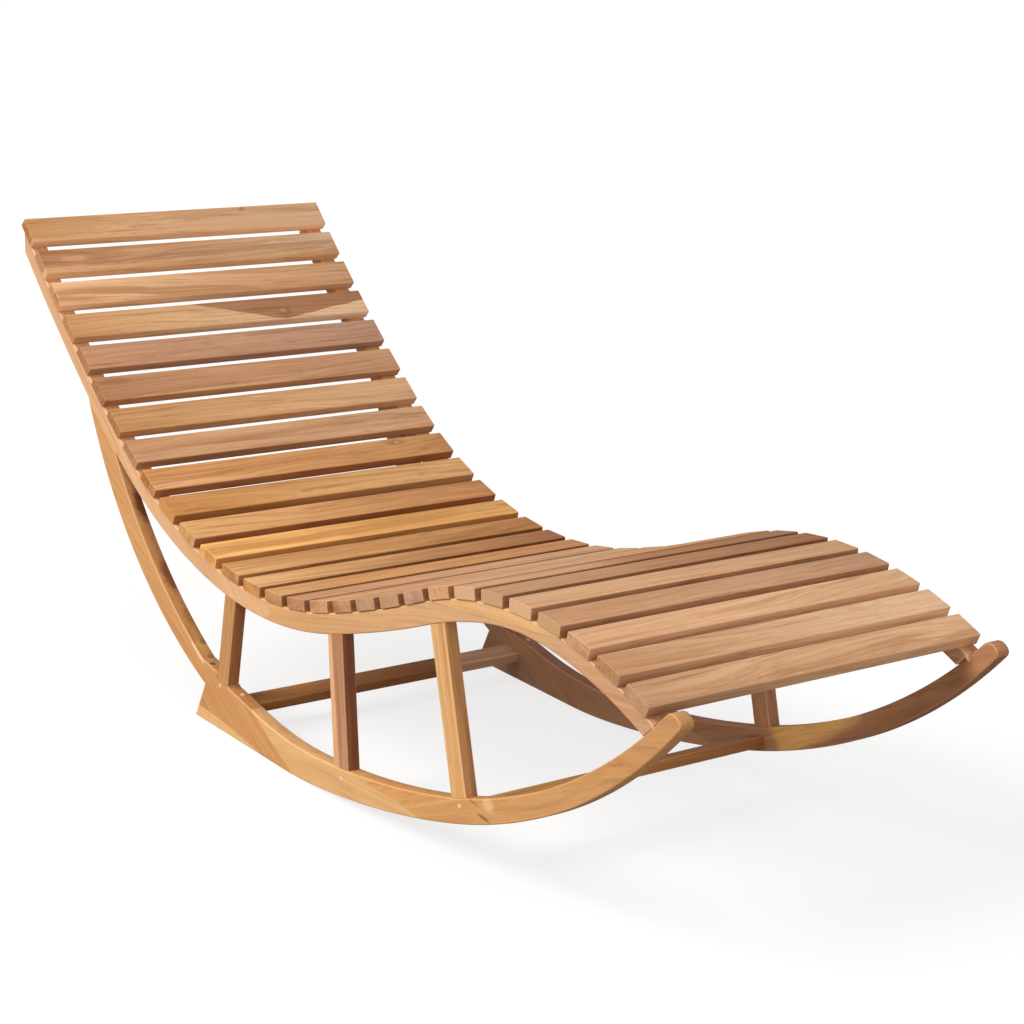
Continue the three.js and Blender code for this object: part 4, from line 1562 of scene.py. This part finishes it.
# Slats with knots or figures of their own, by number from the head
SPECIAL_SLATS = {
    1: Teak(
        "slat_teak_pale_edge", 0.8, 0.16, 0.8,
        figures=(Figure((((-180, 16), (300, 4)),), Tone.PALE, 0.5),),
        spots=(knot_at(1, 135, -19, (9, 6), "#9c6a42", 0.55),),
    ),
    2: Teak(
        "slat_teak_sapwood_edge", 0.8, 0.25, 0.8,
        figures=(Figure((((-300, 13), (300, 7)),), Tone.LIGHT_TAN, 0.8),),
        spots=(knot_at(2, -238, -4, (34, 8), "#dba27c", 0.7, True),),
    ),
    4: Teak(
        "slat_teak_heartwood", 0.8, 0.2, 0.8,
        figures=(Figure((((122, 25), (-62, -27)), ((300, -4), (122, 25))), Tone.HEARTWOOD, 0.92, 0.8),),
        spots=(
            knot_at(4, 124, 9, (20, 12), "#8a5638", 0.75, True),
            knot_at(4, 122, 6, (10, 6), "#c8946a", 0.75),
        ),
    ),
    6: Teak(
        "slat_teak_brown", 0.8, 0.22, 0.8,
        figures=(Figure((((-80, 20), (300, 10)),), Tone.LIGHT_TAN, 0.6),),
        spots=(knot_at(6, -262, -13, (34, 9), "#9a6647", 0.7),),
    ),
    9: Teak(
        "slat_teak_flame", 0.8, 0.3, 0.8,
        figures=(Figure((((-290, 6), (-110, 20)),), Tone.LIGHT_TAN, 0.6),),
        spots=(
            knot_at(9, 196, -14, (26, 8), "#a55f3a", 0.75, True),
            knot_at(9, 200, -14, (7, 3), "#dfa476", 0.8),
        ),
    ),
    23: Teak(
        "slat_teak_dark_half", 0.8, 0.2, 0.8,
        figures=(Figure((((-30, 40), (-70, -40)),), Tone.RUSSET, 0.85, 50.0),),
    ),
}
# A painted highlight as a pale band, and dark knots, at the arm's foot; and painted shade as dark zones up its
# inner face
ARM_TEAK = Teak(
    "arm_teak", 0.6, 0.08, 0.3, 0.5,
    spots=(
        Spot((-320, -279, 147), (9, 8, 8), "#5f3b20", 0.85),
        Spot((-293, -281, 129), (7, 7, 7), "#573419", 0.9),
        Spot((-272, -289, 122), (6, 6, 6), "#573419", 0.85),
        Spot((-308, -283, 138), (34, 13, 22), "#d9a553", 0.45),
        # The next two are painted shade, where the slats shade the arm's inner face
        Spot((-426, -274, 240), (40, 20, 52), "#7e4827", 0.85),
        Spot((-515, -274, 345), (36, 20, 76), "#6c3c20", 0.9),
        Spot((-362, -277, 182), (30, 14, 20), "#a8683a", 0.6),
    ),
    figures=(
        # A painted highlight: the pale band along the rounded inner edge at the arm's foot
        Figure(
            (
                ((-60, -6.5), (60, -6.5)),
                ((60, -0.4), (-60, -0.4)),
                ((-22, 10), (-22, -10)),
                ((26, -10), (26, 10)),
            ),
            Tone.SAPWOOD, 0.95, 0.8,
        ),
        Figure((((69.4, 33.6), (-0.4, -40.8)),), Tone.CARAMEL, 0.6, 8.0),
    ),
    lay=side_lay(-306, 138, -0.62),
)
RUNNER_TEAK = Teak(
    "runner_teak", 0.45, 0.22, 0.4,
    spots=(
        Spot((488, -297, 90), (18, 9, 13), "#ecc08e", 0.8, True),
        Spot((478, -297, 68), (19, 9, 4), "#8f5630", 0.8),
        Spot((455, -297, 84), (17, 9, 2.5), "#a0673d", 0.7),
    ),
)
# The far front runner, with a patch of painted light on its inner face where the light falls
FAR_RUNNER_TEAK = Teak(
    "far_runner_teak", 0.6, 0.25, 0.5,
    figures=(
        Figure(
            (((-30, -24), (150, 24)), ((-80, 40), (-60, -40)), ((85, -40), (135, 40))),
            Tone.BRIGHT_GOLD, 1.0, 12.0,
        ),
    ),
    lay=side_lay(519, 89, 0.32),
)
MIDDLE_POST_TEAK = Teak(
    "middle_post_teak", 0.75, 0.2, 0.6,
    figures=(Figure((((-150, 5), (150, -1)),), Tone.PALE, 0.95, 2.0),),
    lay=side_lay(108, 130, 1.667),
)
# The rear stretcher, with painted light on its far end, where light comes down between the slats
REAR_STRETCHER_TEAK = Teak(
    "rear_stretcher_teak", 0.55, 0.25, 0.5,
    figures=(Figure((((118, 40), (126, -40)),), Tone.SAPWOOD, 1.0, 6.0),),
)
STRETCHERS = (
    Stretcher("rear_stretcher", -248.0, 26.0, Tone.HONEY, Tone.RED_BROWN, REAR_STRETCHER_TEAK),
    Stretcher("front_stretcher", 386.0, 13.0, Tone.BRIGHT_GOLD, Tone.RUSSET, Teak("stretcher_teak")),
)
RIGHT_TONES = {
    "back_rail": Tone.PALE,
    "seat_rail": Tone.GOLD,
    "seat_rail_tip": Tone.PINK_TAN,
    "knee_crest": Tone.GOLD,
    "rear_arm": Tone.ORANGE,
    "heel_wedge": Tone.GOLD,
    "rear_runner": Tone.GOLD,
    "front_runner": Tone.GOLDEN,
    "front_runner_tip": Tone.WARM_TAN,
    "rear_post": Tone.WARM_TAN,
    "middle_post": Tone.PINK_BROWN,
    "front_post": Tone.GOLD,
}
LEFT_TONES = {
    "back_rail": Tone.ORANGE,
    "seat_rail": Tone.PINK_TAN,
    "knee_crest": Tone.PINK_TAN,
    "rear_arm": Tone.ROSE,
    "heel_wedge": Tone.PINK_TAN,
    "rear_runner": Tone.ROSE,
    "front_runner": Tone.PINK_BROWN,
    "front_runner_tip": Tone.CINNAMON,
    "rear_post": Tone.PINK_BROWN,
    "middle_post": Tone.PINK_BROWN,
    "front_post": Tone.PINK_BROWN,
}
# Painted shade on the narrow sides of the frames' boards
RIGHT_SHADES = {"rear_arm": 0.3}
LEFT_SHADES = {"rear_arm": 0.6, "rear_runner": 0.75, "front_runner": 0.35}


def main() -> None:
    """Builds the lounger and the studio, and reports each piece."""
    logging.basicConfig(level=logging.INFO, format="%(message)s")
    bpy.context.scene.view_settings.view_transform = "Standard"
    profile = Profile()
    slat = Teak("slat_teak", 0.85, 0.20, 0.9, 0.7, ring_width=11.0).material()
    woods = {
        "frame": Teak("frame_teak", 0.5, 0.06, 0.3, 0.45).material(),
        "post": Teak("post_teak", 0.75, 0.20, 0.6).material(),
        "peg": Teak("peg_teak", 0.25, 0.10, 0.1).material(),
    }
    own = {"rear_arm": ARM_TEAK, "front_runner": RUNNER_TEAK, "middle_post": MIDDLE_POST_TEAK}
    right_woods = woods | {name: teak.material() for name, teak in own.items()}
    left_woods = woods | {"front_runner": FAR_RUNNER_TEAK.material()}
    for group in (
        Slats(profile, TIMBERS, slat, SPECIAL_SLATS),
        SideFrame(profile, Side.RIGHT, 40, right_woods, RIGHT_TONES, RIGHT_SHADES),
        SideFrame(profile, Side.LEFT, 90, left_woods, LEFT_TONES, LEFT_SHADES),
        Stretchers(profile, STRETCHERS),
    ):
        for piece in group.build():
            log.info("built %s", piece.name)
    Studio().build()


if __name__ == "__main__":
    main()
